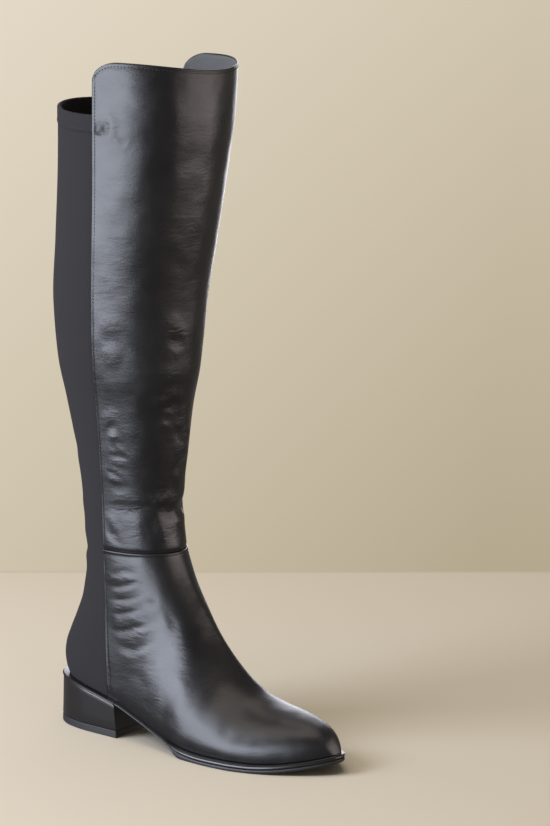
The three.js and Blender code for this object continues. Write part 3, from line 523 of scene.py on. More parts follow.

# %% [markdown]
# A shaft has soft folds where the ankle bends and where the calf pulls. Each is placed as a line
# through three points of the form, with a width and a height in millimetres. A height above zero is a
# ridge, and one below zero is a trough with a low lip on both sides.

# %% Folds: three places as degrees round and a level, then a width and a height
SHAFT_FOLDS = [
    (87, 497, 84, 493, 83, 489, 4.5, 1.12), (82, 498, 79, 493, 80, 487, 4, -0.96),
    (72, 492, 66, 483, 62, 486, 2, -0.4), (79, 335, 68, 338, 56, 334, 6, 0.64),
    (78, 323, 67, 325, 55, 323, 6, -0.48), (79, 311, 68, 314, 58, 312, 6, 0.64),
    (26, 330, 20, 338, 10, 331, 6, 0.72), (26, 319, 18, 323, 6, 318, 5, -1.28),
    (34, 312, 26, 302, 7, 306, 5, 1.12), (27, 291, 17, 292, 7, 289, 4.5, -0.88),
    (34, 286, 26, 280, 16, 282, 4.5, 0.88), (24, 269, 16, 273, 6, 267, 5, -1.2),
    (36, 260, 25, 255, 15, 257, 4, 0.96), (10, 258, 0, 254, -7, 256, 5, 0.8),
    (84, 262, 72, 265, 61, 264, 4, 0.4), (82, 252, 72, 256, 64, 254, 3, -0.8),
    (82, 246, 72, 250, 60, 248, 3, 0.56), (84, 241, 75, 241, 66, 238, 2.2, -0.48),
    (85, 231, 72, 234, 58, 232, 3, -0.64), (87, 225, 73, 227, 60, 225, 3, 0.4),
    (89, 219, 78, 215, 64, 211, 2.4, -0.56), (87, 213, 76, 210, 63, 204, 3.5, 0.72),
    (87, 204, 72, 206, 56, 203, 4, -0.72), (90, 194, 59, 195, 26, 194, 2.5, 0.48),
    (88, 189, 60, 189, 19, 190, 5, -1.12), (26, 190, 7, 186, -27, 185, 5, -0.96),
    (38, 201, 24, 195, 5, 202, 3, 0.96), (30, 206, 21, 202, 12, 207, 3.5, -0.56),
    (92, 181, 82, 178, 71, 170, 3.5, 1.04), (92, 172, 84, 168, 72, 162, 3.5, -0.72),
    (64, 173, 53, 170, 42, 171, 6, 0.88), (29, 184, 24, 174, 16, 162, 5, 0.96),
    (0, 183, -5, 170, -10, 157, 6, -0.48), (14, 251, -4, 250, -24, 250, 5, -2.6),
    (12, 266, -5, 268, -24, 269, 6, 1.3), (10, 237, -6, 236, -26, 233, 5, 1.4),
    (8, 222, -8, 221, -26, 222, 5, -1.5), (4, 190, -18, 189, -40, 192, 5, -1.8),
    (-7, 239, -15, 232, -26, 222, 6, 0.8), (-7, 212, -23, 205, -28, 198, 6, 0.64),
    (-24, 190, -29, 185, -29, 181, 4, -0.8), (-40, 196, -62, 192, -84, 197, 4, -0.96),
    (-36, 207, -60, 204, -82, 208, 4, 0.8), (-48, 178, -66, 175, -86, 180, 4, 0.88),
    (-45, 168, -64, 167, -84, 170, 3.5, -0.64), (-50, 222, -66, 220, -84, 224, 4, -0.64),
    (-34, 262, -55, 258, -78, 264, 5, -0.64), (-40, 296, -62, 293, -82, 299, 5, 0.64),
    (-30, 318, -55, 314, -80, 320, 5, -0.72), (-36, 340, -60, 337, -82, 342, 6, 0.56),
    (-62, 404, -70, 400, -84, 406, 5, -0.48),
]
VAMP_FOLDS = [
    (101, 126, 82, 132, 60, 132, 3, 0.31), (102, 120, 82, 124, 54, 136, 2.2, -0.27),
    (104, 112, 87, 117, 54, 129, 2.5, 0.27), (104, 106, 87, 109, 58, 122, 2.2, -0.31),
    (107, 97, 88, 102, 59, 116, 3.5, 0.35), (106, 90, 91, 94, 69, 106, 2.2, -0.31),
    (106, 82, 90, 87, 63, 104, 3.5, 0.39), (108, 73, 94, 75, 56, 98, 3, -0.46),
    (104, 67, 89, 71, 58, 92, 4, 0.46), (106, 58, 90, 60, 64, 79, 3.5, -0.43),
    (96, 132, 74, 138, 48, 139, 3, -0.2), (67, 115, 60, 111, 48, 118, 4, -0.31),
    (48, 107, 46, 95, 55, 82, 6, -0.31), (-48, 128, -66, 122, -88, 124, 3, -0.31),
    (-48, 118, -68, 110, -90, 112, 3.5, 0.35), (-50, 108, -72, 98, -94, 100, 3, -0.35),
    (-52, 96, -76, 86, -96, 86, 4, 0.35), (-56, 84, -78, 74, -98, 72, 3.5, -0.31),
]
BACK_FOLDS = [
    (115, 182, 150, 176, 190, 180, 5, -0.6), (120, 168, 160, 164, 205, 168, 5, 0.54),
    (118, 152, 155, 149, 200, 153, 5, -0.66), (122, 138, 165, 134, 215, 139, 5, 0.48),
    (125, 122, 160, 120, 205, 124, 5, -0.42), (140, 200, 175, 196, 225, 201, 6, 0.42),
    (112, 236, 140, 232, 175, 235, 7, -0.36), (150, 318, 185, 314, 228, 318, 9, -0.36),
]
PATH_STEPS, WAVER, WAVER_SIZE = 8, 2.2, 13.0
WAVER_WAYS = np.array([[0.9, 0.3, 0.5], [-0.4, 0.8, 0.7], [0.5, -0.6, 0.9]])


def folded(points, folds):
    """How far each point of a surface stands out. A fold is strongest in its middle and gone at its ends."""
    height = np.zeros(points.shape[:-1])
    p = points / WAVER_SIZE
    slow = np.stack([np.sin(p @ way + 1.7 * np.sin(p @ way[::-1] * 0.6 + k))
                     for k, way in enumerate(WAVER_WAYS)], -1)
    points = points + WAVER * slow
    uneven = 0.8 + 0.3 * np.sin(p @ WAVER_WAYS[1] * 0.8 + 2 * slow[..., 0])
    t = np.linspace(0, 1, PATH_STEPS + 1)[:, None]
    for row in folds:
        width, strength = row[6:]
        a, b, c = form(np.radians(row[:6:2]), row[1:6:2])
        path = (1 - t) * (1 - 2 * t) * a + 4 * t * (1 - t) * b + t * (2 * t - 1) * c
        middle = path[PATH_STEPS // 2]
        close = size(points - middle) < size(path - middle).max() + 4 * width
        near = points[close]
        gap, along = np.full(len(near), np.inf), np.zeros(len(near))
        for i, (start, end) in enumerate(zip(path, path[1:])):
            step = end - start
            share = np.clip((near - start) @ step / (step @ step), 0, 1)
            apart = size(near - start - share[:, None] * step)
            nearer = apart < gap
            gap, along = np.where(nearer, apart, gap), np.where(nearer, (i + share) / PATH_STEPS, along)
        full = np.sin(math.pi * along)
        gap /= width * (0.55 + 0.45 * full)
        across = np.exp(-(gap**2))
        if strength < 0:
            across -= 0.35 * np.exp(-((gap - 2) ** 2))
        height[close] += strength * across * full**1.3 * uneven[close]
    return height


def creasing(height):
    """How much fine creasing the leather shows, from none to full, near a fold of some height."""
    return ease(np.abs(height) / 0.5)


def rolled(distance, radius=1.0, drop=0.7):
    """How deep a turned edge lies at a distance from it."""
    left = np.clip(1 - distance / radius, 0, 1)
    return drop * (1 - np.sqrt(1 - left**2))


def pulled(distance):
    """How deep a row of stitches pulls the leather in, at a distance from the edge."""
    return STITCH_PULL * np.exp(-(((distance - STITCH_INSET) / 0.8) ** 2))


STITCH_INSET, STITCH_PULL, DEEPEST = 2.8, 0.3, 3.0

# %% [markdown]
# The vamp is one piece of leather, pulled over the last and under its edge. Its top edge stands a little
# proud of the shaft, where it is turned over the seam.

# %% Vamp
VAMP_ROUND, PLY = 330, LEATHER - 0.2


def vamp_points(up, around):
    up, share = grid(up, around)
    level = up * (ANKLE - GAP / 2)
    angle = front_angle(level, share)
    height = np.maximum(-DEEPEST, folded(form(angle, level), VAMP_FOLDS))
    from_top = ANKLE - GAP / 2 - level
    side = np.minimum(share, 1 - share) * VAMP_ROUND
    lip = SEAM_LIP * ease(1 - from_top / 4)
    depth = rolled(from_top, 1.3, 0.9) + rolled(side) + pulled(side) - lip - height
    return inside(angle, level, depth), np.stack([share * VAMP_ROUND, level], -1), creasing(height)


sheet = vamp_points(stations(ANKLE, 130, low=(0, 0.8)), stations(VAMP_ROUND, 245))
bm = grid_mesh(*sheet, way=(0, 1, 0))
thicken(piece("vamp_leather", bm, [CALF, FLESH], ["vamp"]), PLY, 1)

# %% [markdown]
# The shaft's front is a second piece of the same leather. It runs up past the collar as a flap with two
# rounded corners, and its flesh side, soft and grey, shows on the inside of the far flap. Its lower edge
# dives behind the vamp's rim, which leaves a dark line at the seam.

# %% Shaft front
SHAFT_ROUND = 280


def shaft_points(up, around):
    up, share = grid(up, around)
    nominal = mix(ANKLE + GAP / 2, FRONT_TOP, up)
    angle = front_angle(nominal, share)
    level = front_level(nominal, angle, share)
    height = np.maximum(-DEEPEST, folded(form(angle, level), SHAFT_FOLDS))
    side = np.minimum(share, 1 - share) * SHAFT_ROUND
    from_top = (1 - up) * (FRONT_TOP - ANKLE)
    tuck = 0.7 * (1 - ease((level - ANKLE) / 3.5))
    depth = rolled(from_top) + rolled(side) + pulled(side) + 0.8 * pulled(from_top) + tuck - height
    return inside(angle, level, depth), np.stack([share * SHAFT_ROUND, level], -1), creasing(height)


sheet = shaft_points(stations(FRONT_TOP - ANKLE, 235), stations(SHAFT_ROUND, 166))
bm = grid_mesh(*sheet, way=(0, 1, 0))
thicken(piece("shaft_leather", bm, [CALF, FLESH], ["shaft_front"]), PLY, 1)

# %% [markdown]
# The stretch back is a knitted panel a step lower than the leather. Its edges dive under the leather on
# both sides, so no gap shows beside the seams.

# %% Stretch back
BACK_ROUND, KNIT = 180, 0.8


def back_points(up, around):
    up, share = grid(up, around)
    nominal = up * HEM_LEVEL
    angle = back_angle(nominal, share, 3)
    level = lowered(nominal, angle)
    under = 1 - ease(np.minimum(share, 1 - share) / 0.03)
    height = folded(form(angle, level), BACK_FOLDS)
    depth = RECESS + under * (UNDER_LEATHER - RECESS) - np.maximum(-0.9, height) * (1 - under)
    return inside(angle, level, depth), np.stack([share * BACK_ROUND, nominal], -1)


sheet = back_points(stations(HEM_LEVEL, 250, (0,), (0,)), stations(BACK_ROUND, 92, (0,), (0,)))
bm = grid_mesh(*sheet, way=(0, -1, 0))
thicken(piece("stretch_back", bm, [STRETCH], ["upper"]), KNIT)

# %% [markdown]
# The back's top edge is turned over and stitched down as a hem. A strip goes up its outside, over the fold
# and down the inside.

# %% Hem
HEM_FACE = RECESS - HEM_STEP
# Rows of the strip's section, each as a height above the hem's foot and a depth.
profile = np.array([
    (0, RECESS), (0, HEM_FACE + 0.15), (0.6, HEM_FACE), (1.4, HEM_FACE + 0.1), (2, HEM_FACE + 0.2),
    (2.6, HEM_FACE + 0.1), (4, HEM_FACE), (12, HEM_FACE), (12.7, 0.6), (13, 1.2), (13, 2.1), (12.7, 2.7),
    (12, INNER), (6, INNER), (-4, INNER), (-6, INNER + 0.1)])
share, row = np.meshgrid(np.linspace(0, 1, 90), np.arange(len(profile)), indexing="xy")
nominal = HEM_LEVEL + profile[row, 0]
angle = back_angle(np.full_like(nominal, COLLAR), share, 2)
points = inside(angle, lowered(nominal, angle), profile[row, 1])
bm = grid_mesh(points, np.stack([share * BACK_ROUND, nominal], -1), way=(0, -1, 0))
piece("collar_hem", bm, [STRETCH], smooth=60)

# %% [markdown]
# A twill lining covers the inside, from the seat up to the collar. It gives way where a fold of the leather
# or the knit comes inwards.

# %% Lining
up, turn = grid(np.linspace(0, 1, 60), np.linspace(0, 2 * math.pi, 120))
nominal = up * (COLLAR - 1)
level = lowered(nominal, turn)
round_form = form(turn, level)
height = np.minimum(0, folded(round_form, SHAFT_FOLDS) + folded(round_form, BACK_FOLDS))
points = inside(turn, level, INNER - height)
bm = grid_mesh(points, np.stack([turn * 60, nominal], -1), closed=True)
piece("shaft_lining", bm, [LINING])

# %% [markdown]
# The seams are lockstitched with a thick waxed thread. Each stitch is a small spindle made by the same
# operator, laid along a line on the leather at even steps, and all of a seam's stitches are one mesh.

# %% Stitches
STITCH_PITCH, STITCH_LONG, STITCH_THICK, BATCH = 2.7, 1.7, 0.8, 40


def along_line(points, pitch, carried, start=0.5):
    """Points at even steps along a line, the line's direction at each, and what else it carries there."""
    length = np.concatenate([[0], np.cumsum(size(np.diff(points, axis=0)))])
    at = np.arange(pitch * start, length[-1], pitch)
    behind, spots, ahead = (np.stack([np.interp(at + shift, length, column) for column in points.T], -1)
                            for shift in (-0.2, 0, 0.2))
    return spots, unit(ahead - behind), [np.interp(at, length, values) for values in carried]


def spindles(rows):
    """A bmesh of spindles. Each row is a spot, a way, an outward direction and three sizes in millimetres."""
    bm = bmesh.new()
    for start in range(0, len(rows), BATCH):
        part = bmesh.new()
        for spot, way, out, long, wide, thick in rows[start:start + BATCH]:
            way = unit(way)
            side = unit(np.cross(out, way))
            axes = np.stack([side * wide, np.cross(way, side) * thick, way * long], -1) / 1000
            turn = Matrix(axes.tolist()).to_4x4()
            turn.translation = Vector((spot + SHIFT) / 1000)
            bmesh.ops.create_uvsphere(part, u_segments=6, v_segments=4, radius=0.5, matrix=turn)
        batch = bpy.data.meshes.new("batch")
        part.to_mesh(batch)
        part.free()
        bm.from_mesh(batch)
        bpy.data.meshes.remove(batch)
    return bm


def sew(name, lines, pitch=STITCH_PITCH):
    """One mesh of stitches. Each line is angles, levels and the depth of the stitches' middle."""
    rows = []
    for angle, level, depth in lines:
        line = inside(angle, level, np.broadcast_to(depth, level.shape))
        spots, ways, carried = along_line(line, pitch, [angle, level])
        rows += [(spot, way, out, STITCH_LONG, STITCH_THICK, STITCH_THICK)
                 for spot, way, out in zip(spots, ways, outward(*carried))]
    piece(name, spindles(rows), [THREAD])


SIDE_STITCH_DEPTH = STITCH_PULL - 0.1
low = np.linspace(2, ANKLE - 3, 400)
high = np.linspace(ANKLE + 3, FRONT_TOP - FLAP_CORNER_HEIGHT - 2, 900)
outer_at, zip_at = STITCH_INSET, ZIP_CHANNEL / 2 + STITCH_INSET
sew("vamp_stitches", [(seam_angle(low, outer_at), low, SIDE_STITCH_DEPTH),
                      (zip_angle(low, zip_at), low, SIDE_STITCH_DEPTH)])
share = np.linspace(0.012, 0.988, 500)
nominal = np.full_like(share, FRONT_TOP)
rim_angle = front_angle(nominal, share)
rim_level = front_level(nominal, rim_angle, share) - STITCH_INSET - 0.3
sew("shaft_stitches", [(seam_angle(high, outer_at), high, SIDE_STITCH_DEPTH),
                       (zip_angle(high, zip_at), high, SIDE_STITCH_DEPTH),
                       (rim_angle, rim_level, 0.12)])
whole = np.linspace(4, COLLAR - COLLAR_DIP - 3, 1200)
share = np.linspace(0.02, 0.98, 300)
round_back = back_angle(np.full_like(share, COLLAR), share)
hem_level = lowered(np.full_like(share, HEM_LEVEL + 2), round_back)
sew("back_stitches", [(zip_angle(whole, -ZIP_CHANNEL / 2 - 2.2), whole, RECESS - 0.1),
                      (round_back, hem_level, RECESS - HEM_STEP + 0.1)])

# %% [markdown]
# The sole is in two layers at the forefoot, a welt over the tread, and one thin layer at the waist. Each
# is a loft of cross-sections, whose edge is shaped as a knife and a hot iron would leave it.

# %% Sole layers
def sole_point(side, turn, inset):
    sign = -1 if side == "outer" else 1

    def at(t):
        return np.stack([SOLE_LENGTH * (1 - np.cos(t)) / 2, sign * BALL_WIDTH * outline[side](t)], -1)

    along = at(np.minimum(math.pi, turn + 0.01)) - at(np.maximum(0, turn - 0.01))
    inward = np.stack([along[..., 1], -along[..., 0]], -1)
    return at(turn) + sign * unit(inward) * inset[..., None]


def turn_at(x):
    return np.arccos(1 - 2 * np.clip(x / SOLE_LENGTH, 0, 1))


def welt_bottom(x):
    return seat(x) - GAP - welt_share(x / SOLE_LENGTH) * WELT


def outsole_top(x):
    return welt_bottom(x) - GAP * np.minimum(1, welt_share(x / SOLE_LENGTH) / 0.15)


def layer_points(start, bottom, top, edge, count=150):
    """Rings round a layer's cross-section. The edge's rows are height share and inset."""
    turn = mix(turn_at(start), math.pi, np.linspace(0, 1, count))
    x = SOLE_LENGTH * (1 - np.cos(turn)) / 2
    fit = np.minimum(1, (top(x) - bottom(x)) / 1.6)
    rings = []
    for side in ("outer", "inner"):
        rows = []
        for height, inset in edge:
            p = sole_point(side, turn, inset * fit)
            rows.append(np.stack([p[:, 0], p[:, 1], mix(bottom(p[:, 0]), top(p[:, 0]), height)], -1))
        rings.append(rows)
    outer, inner = rings
    across = [mix(outer[-1], inner[-1], t) for t in (0.25, 0.5, 0.75)]
    under = [mix(inner[0], outer[0], t) for t in (0.25, 0.5, 0.75)]
    ring = outer + across + inner[::-1] + under + outer[:1]
    return np.stack(ring, 1)


TREAD_EDGE = [(0, 1.0), (0.12, 0.35), (0.3, 0.05), (0.55, 0), (0.8, 0.05), (0.93, 0.2), (1, 0.55)]
WELT_EDGE = [(0, 0.6), (0.05, 0.2), (0.16, 0), (0.42, 0.05), (0.55, 0.28), (0.66, 0.3), (0.76, 0.02),
             (0.88, -0.05), (0.96, 0.25), (1, 0.9)]
points = layer_points(HEEL_LENGTH + 2 * GAP, underside, outsole_top, TREAD_EDGE)
piece("tread_sole", grid_mesh(points, capped=True), [RUBBER], ["outsole"])
points = layer_points(0.487 * SOLE_LENGTH, welt_bottom, lambda x: seat(x) - GAP, WELT_EDGE)
piece("welt_layer", grid_mesh(points, capped=True), [EDGE_PAINT], ["midsole"])

# %% [markdown]
# The heel is a stack covered in one skin of black paint, with a rubber top piece under it. Both follow the
# sole's outline round the back and are cut flat at the breast. A thin bead, the rand, runs round its top.

# %% Heel
def heel_points(rows, around=60):
    """Rings round the heel: each row is a height, or a gap under the seat, with its flare and inset."""
    end = turn_at(HEEL_LENGTH)
    rings = []
    for height, under_seat, flare, inset in rows:
        ring = []
        for side, way in (("outer", 1), ("inner", -1)):
            turn = end * np.linspace(1, 0, around)[::way]
            p = sole_point(side, turn, np.full(around, float(inset)))
            x = p[:, 0] + flare * (2 * p[:, 0] / HEEL_LENGTH - 1)
            z = seat(p[:, 0]) - under_seat if height is None else np.full(around, float(height))
            ring.append(np.stack([x, p[:, 1], z], -1)[(0 if way > 0 else 1):])
        ring.append(ring[0][:1])
        rings.append(np.concatenate(ring))
    return np.stack(rings)


flare = HEEL_FLARE * (1 - (TOP_PIECE + GAP) / HEEL_HEIGHT)
block_rows = [(TOP_PIECE + GAP, 0, flare, 0.6), (TOP_PIECE + GAP + 0.5, 0, flare, 0.1),
              (TOP_PIECE + 1.5, 0, flare, 0), (TOP_PIECE + 9, 0, flare * 0.7, 0), (None, 6, 0.3, 0),
              (None, 3.2, 0, 0), (None, 2.7, 0, 0.12), (None, 2.4, 0, 0.3), (None, 2.1, 0, -0.4),
              (None, 1.7, 0, -0.8), (None, 1.2, 0, -0.8), (None, 0.7, 0, -0.4), (None, 0.3, 0, 0.5)]
bm = grid_mesh(heel_points(block_rows), capped=True)
piece("heel_stack", bm, [EDGE_PAINT], ["heel_block"])
tip_rows = [(0, 0, HEEL_FLARE, 0.6), (0.5, 0, HEEL_FLARE, 0.1), (2, 0, HEEL_FLARE, 0),
            (TOP_PIECE - 0.4, 0, flare, 0), (TOP_PIECE, 0, flare, 0.4)]
bm = grid_mesh(heel_points(tip_rows), capped=True)
piece("heel_tip", bm, [RUBBER], ["heel_top_piece"])

# %% [markdown]
# Inside, a sock of thin leather covers the insole board.

# %% Insole
t = np.linspace(0, 1, 120)
turn = np.clip(math.pi * (1 - t), 1e-4, math.pi - 1e-4)
inset = INNER + INSOLE_GAP + INSOLE_TOE_GAP * np.maximum(0, np.cos(turn)) ** 8
outer, inner = inside(turn, 0 * turn, inset), inside(-turn, 0 * turn, inset)
lift = np.array([0, 0, INSOLE])
ring = [outer, outer + lift * 0.8, outer + lift, mix(outer, inner, 0.5) + lift * 1.1, inner + lift,
        inner + lift * 0.8, inner, outer]
bm = grid_mesh(np.stack(ring, 1), capped=True)
piece("sock_insole", bm, [LINING], ["insole"])

# %% [markdown]
# The inner side opens with a coil zip. Its woven tape is one strip here, since the zip is closed. The coil
# is a row of nylon turns on each half, which lock alternately, so the halves are half a pitch apart. Real
# turns are about a millimetre apart and are drawn a little coarser.

# %% Zip tape and coil
TAPE_DEPTH, TAPE_THICK, TAPE_BOTTOM = 0.7, 0.3, 0.035 * ANKLE
COIL_PITCH, COIL_BOTTOM, COIL_LEAN = 1.4, 0.1 * ANKLE, 0.12
TURN_LONG, TURN_WIDE, TURN_HIGH = 2.7, 1.05, 1.2
SLIDER_LEVEL, SLIDER_LENGTH, SLIDER_WIDTH, SLIDER_THICK = COLLAR - COLLAR_DIP - 24, 12, 8.2, 2.8


def zip_point(level, offset, depth):
    """A point beside the zip's middle, to the front where the offset is positive."""
    level = np.asarray(level, float)
    return inside(zip_angle(level, offset), level, np.broadcast_to(depth, level.shape))


level, offset = grid(np.linspace(TAPE_BOTTOM, COLLAR - COLLAR_DIP - 1, 300),
                     np.linspace(-1, 1, 19) * (ZIP_CHANNEL / 2 - GAP))
groove = 0.25 * np.exp(-((np.abs(offset) - CHAIN_WIDTH / 2 - 0.6) / 0.35) ** 2)
flat = np.stack([offset, level], -1)
bm = grid_mesh(zip_point(level, offset, TAPE_DEPTH + groove), flat, way=(0, 1, 0))
thicken(piece("zip_tape_cloth", bm, [TAPE], ["zip_tape"]), TAPE_THICK)

turns = []
coil_top = SLIDER_LEVEL - SLIDER_LENGTH / 2 - GAP
for side in (-1, 1):
    level = np.arange(COIL_BOTTOM + (side + 1) * COIL_PITCH / 4, coil_top, COIL_PITCH)
    level = np.linspace(level[0], level[-1], 900)
    line = zip_point(level, side * 0.8, -0.2)
    spots, ways, (at_level,) = along_line(line, COIL_PITCH, [level], start=(side + 1) / 4)
    outs = outward(zip_angle(at_level, 0.0), at_level)
    turns += [(spot, np.cross(way, out) - COIL_LEAN * side * way, out, TURN_LONG, TURN_WIDE, TURN_HIGH)
              for spot, way, out in zip(spots, ways, outs)]
piece("zip_coil", spindles(turns), [COIL], ["zip_chain"], smooth=80)
level = np.linspace(COIL_BOTTOM, coil_top, 900)
sew("tape_stitches", [(zip_angle(level, way * (CHAIN_WIDTH / 2 + 0.6)), level, TAPE_DEPTH + 0.05)
                      for way in (-1, 1)], pitch=2)

# %% [markdown]
# The slider is cast in zinc and plated. Its body is an outline given depth and rounded edges, and a small
# arched bridge on it holds the ring. It is shaped flat at the origin and then laid on the zip.

# %% Slider
front_edge, rear_edge = zip_point(SLIDER_LEVEL, 0.5, 0), zip_point(SLIDER_LEVEL, -0.5, 0)
centre = (front_edge + rear_edge) / 2
above = SLIDER_LEVEL + SLIDER_LENGTH / 2
rise = unit((zip_point(above, 0.5, 0) + zip_point(above, -0.5, 0)) / 2 - centre)
out = unit(-np.cross(front_edge - rear_edge, rise))
side = -np.cross(rise, out)
SLIDER_FLOOR, BRIDGE_HALF, BRIDGE_WIDE, BRIDGE_RISE, BRIDGE_WALL = -0.4, 3.7, 2.4, 3.4, 0.9
slider_turn = Matrix(np.stack([side, rise, out], -1).tolist()).to_4x4()
slider_turn.translation = Vector(centre + out * SLIDER_FLOOR + SHIFT)
slider_turn = Matrix.Scale(0.001, 4) @ slider_turn

OUTLINE_CORNERS = [(0.62, -0.5), (0.9, -0.22), (1, 0), (1, 0.36), (0.85, 0.45), (0.55, 0.5)]
corners = [(w * SLIDER_WIDTH / 2, u * SLIDER_LENGTH, 0) for w, u in OUTLINE_CORNERS]
corners += [(-x, y, z) for x, y, z in reversed(corners)]
bm = bmesh.new()
plate = bm.faces.new([bm.verts.new(corner) for corner in corners])
raised = bmesh.ops.extrude_face_region(bm, geom=[plate])["geom"]
top_corners = [v for v in raised if isinstance(v, bmesh.types.BMVert)]
bmesh.ops.translate(bm, verts=top_corners, vec=(0, 0, SLIDER_THICK))
bmesh.ops.recalc_face_normals(bm, faces=bm.faces)
bmesh.ops.bevel(bm, geom=bm.edges[:], offset=0.45, segments=3, profile=0.5, affect="EDGES", material=-1)
top = max(bm.faces, key=lambda face: (face.calc_center_median().z, face.calc_area()))
bmesh.ops.inset_individual(bm, faces=[top], thickness=0.5, depth=0)
bmesh.ops.inset_individual(bm, faces=[top], thickness=0.3, depth=-0.3)
ends = [(x, y, SLIDER_THICK) for y in (BRIDGE_HALF - BRIDGE_WALL, BRIDGE_HALF)
        for x in (-BRIDGE_WIDE / 2, BRIDGE_WIDE / 2)]
foot = bm.faces.new([bm.verts.new(ends[i]) for i in (0, 1, 3, 2)])
bmesh.ops.spin(bm, geom=[foot, *foot.verts, *foot.edges], cent=(0, 0, SLIDER_THICK), axis=(1, 0, 0),
               angle=math.pi, steps=18)
arched = [v for v in bm.verts if v.co.z > SLIDER_THICK + 0.05 or v in foot.verts[:]]
bmesh.ops.scale(bm, vec=(1, 1, BRIDGE_RISE / BRIDGE_HALF), verts=arched,
                space=Matrix.Translation((0, 0, -SLIDER_THICK)))
bmesh.ops.recalc_face_normals(bm, faces=bm.faces)
bmesh.ops.transform(bm, matrix=slider_turn, verts=bm.verts)
piece("cast_slider", bm, [METAL], ["zip_slider"])

# %% [markdown]
# The pull hangs plumb from the bridge. Its ring is a plated wire, wider at the foot, where a strap goes
# round it. It is a round section carried along a four-sided path with rounded corners.

# %% Pull ring
RING_WIRE, RING_LENGTH, RING_TOP, RING_FOOT, RING_CORNER = 1.3, 16, 5, 10.5, 1.6
up = np.array([0, 0, 1.0])
level_side = np.array([side[0], side[1], 0]) / math.hypot(side[0], side[1])
away = np.array([out[0], out[1], 0]) / math.hypot(out[0], out[1])
pivot = centre + out * (SLIDER_FLOOR + SLIDER_THICK + BRIDGE_RISE - BRIDGE_WALL - GAP - RING_WIRE / 2)
corners = np.array([[-RING_TOP / 2, 0], [RING_TOP / 2, 0], [RING_FOOT / 2, -RING_LENGTH],
                    [-RING_FOOT / 2, -RING_LENGTH]])
path = []
for i, corner in enumerate(corners):
    before, after = corners[i - 1] - corner, corners[(i + 1) % 4] - corner
    enter, leave = corner + unit(before) * RING_CORNER, corner + unit(after) * RING_CORNER
    for t in np.linspace(0, 1, 7):
        path.append((1 - t) ** 2 * enter + 2 * t * (1 - t) * corner + t * t * leave)
path = np.array(path + path[:1])
ahead = np.roll(path[:-1], -1, axis=0) - np.roll(path[:-1], 1, axis=0)
ahead = unit(np.concatenate([ahead, ahead[:1]]))
normal = np.stack([ahead[:, 1], -ahead[:, 0]], -1)
turn = np.linspace(0, 2 * math.pi, 13)
flat_ring = path[:, None] + normal[:, None] * (RING_WIRE / 2 * np.cos(turn))[None, :, None]
points = (pivot + flat_ring[..., :1] * level_side + flat_ring[..., 1:] * up
          + (RING_WIRE / 2 * np.sin(turn))[None, :, None] * away)
piece("wire_ring", grid_mesh(points, closed=True), [METAL], ["pull_ring"], "zip_pull", 80)

# %% [markdown]
# The strap is cut from the same calf, bent round the ring's foot and stitched through both plies. It is
# drawn as its outline from the side, carried across its width. It turns with the ring.

# %% Pull strap
STRAP_WIDE, STRAP_LONG, STRAP_PLY, EYE = 8, 44, 0.9, 0.95
foot = pivot - up * RING_LENGTH
bend = np.radians(np.linspace(-55, 235, 25))
loop = np.stack([np.cos(bend), np.sin(bend)], -1) * (EYE + STRAP_PLY)
down = np.stack([np.full(40, STRAP_PLY), np.linspace(-STRAP_LONG, -3.2, 40)], -1)
profile = np.concatenate([down, loop, down[::-1] * [-1, 1]])
for _ in range(2):
    profile[38:-38] = (profile[37:-39] + 2 * profile[38:-38] + profile[39:-37]) / 4
end = STRAP_LONG + profile[:, 1]
round_end = 1 - (1 - np.sqrt(1 - np.clip(1 - end / 2.5, 0, 1) ** 2)) * 0.6
across = np.array([-1, -0.97, -0.9, -0.8, -0.6, -0.3, 0, 0.3, 0.6, 0.8, 0.9, 0.97, 1])
thin = 0.22 * np.clip((np.abs(across) - 0.8) / 0.2, 0, 1) ** 2
points = (foot + profile[:, None, :1] * away + profile[:, None, 1:] * up
          + (round_end[:, None] * across * STRAP_WIDE / 2)[..., None] * level_side
          - (np.sign(profile[:, :1]) * thin)[..., None] * away * (np.abs(profile[:, :1]) > 0.5)[..., None])
bm = grid_mesh(points, way=away)
strap = piece("leather_strap", bm, [CALF, FLESH], ["pull_strap"], "zip_pull")
thicken(strap, STRAP_PLY - 0.04, 1)
STRAP_STITCH = (1.5, 0.5, 0.45)
sides = [(x, z, up) for x in (-3.1, 3.1) for z in np.arange(-STRAP_LONG + 2.4, -3.4, 2.2)]
ends = [(x, z, level_side) for x in (-2, 0, 2) for z in (-STRAP_LONG + 1.3, -4.4)]
rows = [(foot + away * face * STRAP_PLY + level_side * x + up * z, way, away * face, *STRAP_STITCH)
        for face in (1, -1) for x, z, way in sides + ends]
piece("strap_stitches", spindles(rows), [THREAD], body="zip_pull")

# %% [markdown]
# The camera stands where the photograph's did, a little above the ankle's height and turned to the outer
# side. Its place was worked out from the boot's own points.

# %% Camera
PICTURE_HEIGHT = 826
AHEAD = Vector((-0.59637, 0.78143, -0.18361))
lens = bpy.data.cameras.new("camera")
camera = put("camera", lens)
scene.camera = camera
camera.location = (1.3331, -1.6475, 0.6766)
camera.rotation_euler = AHEAD.to_track_quat("-Z", "Y").to_euler()
lens.sensor_width = 36
lens.lens = 120.29
lens.shift_x = -4 / PICTURE_HEIGHT
lens.shift_y = -16.8 / PICTURE_HEIGHT
lens.clip_end = 100
print("camera", [round(c, 2) for c in camera.location], "lens", lens.lens)
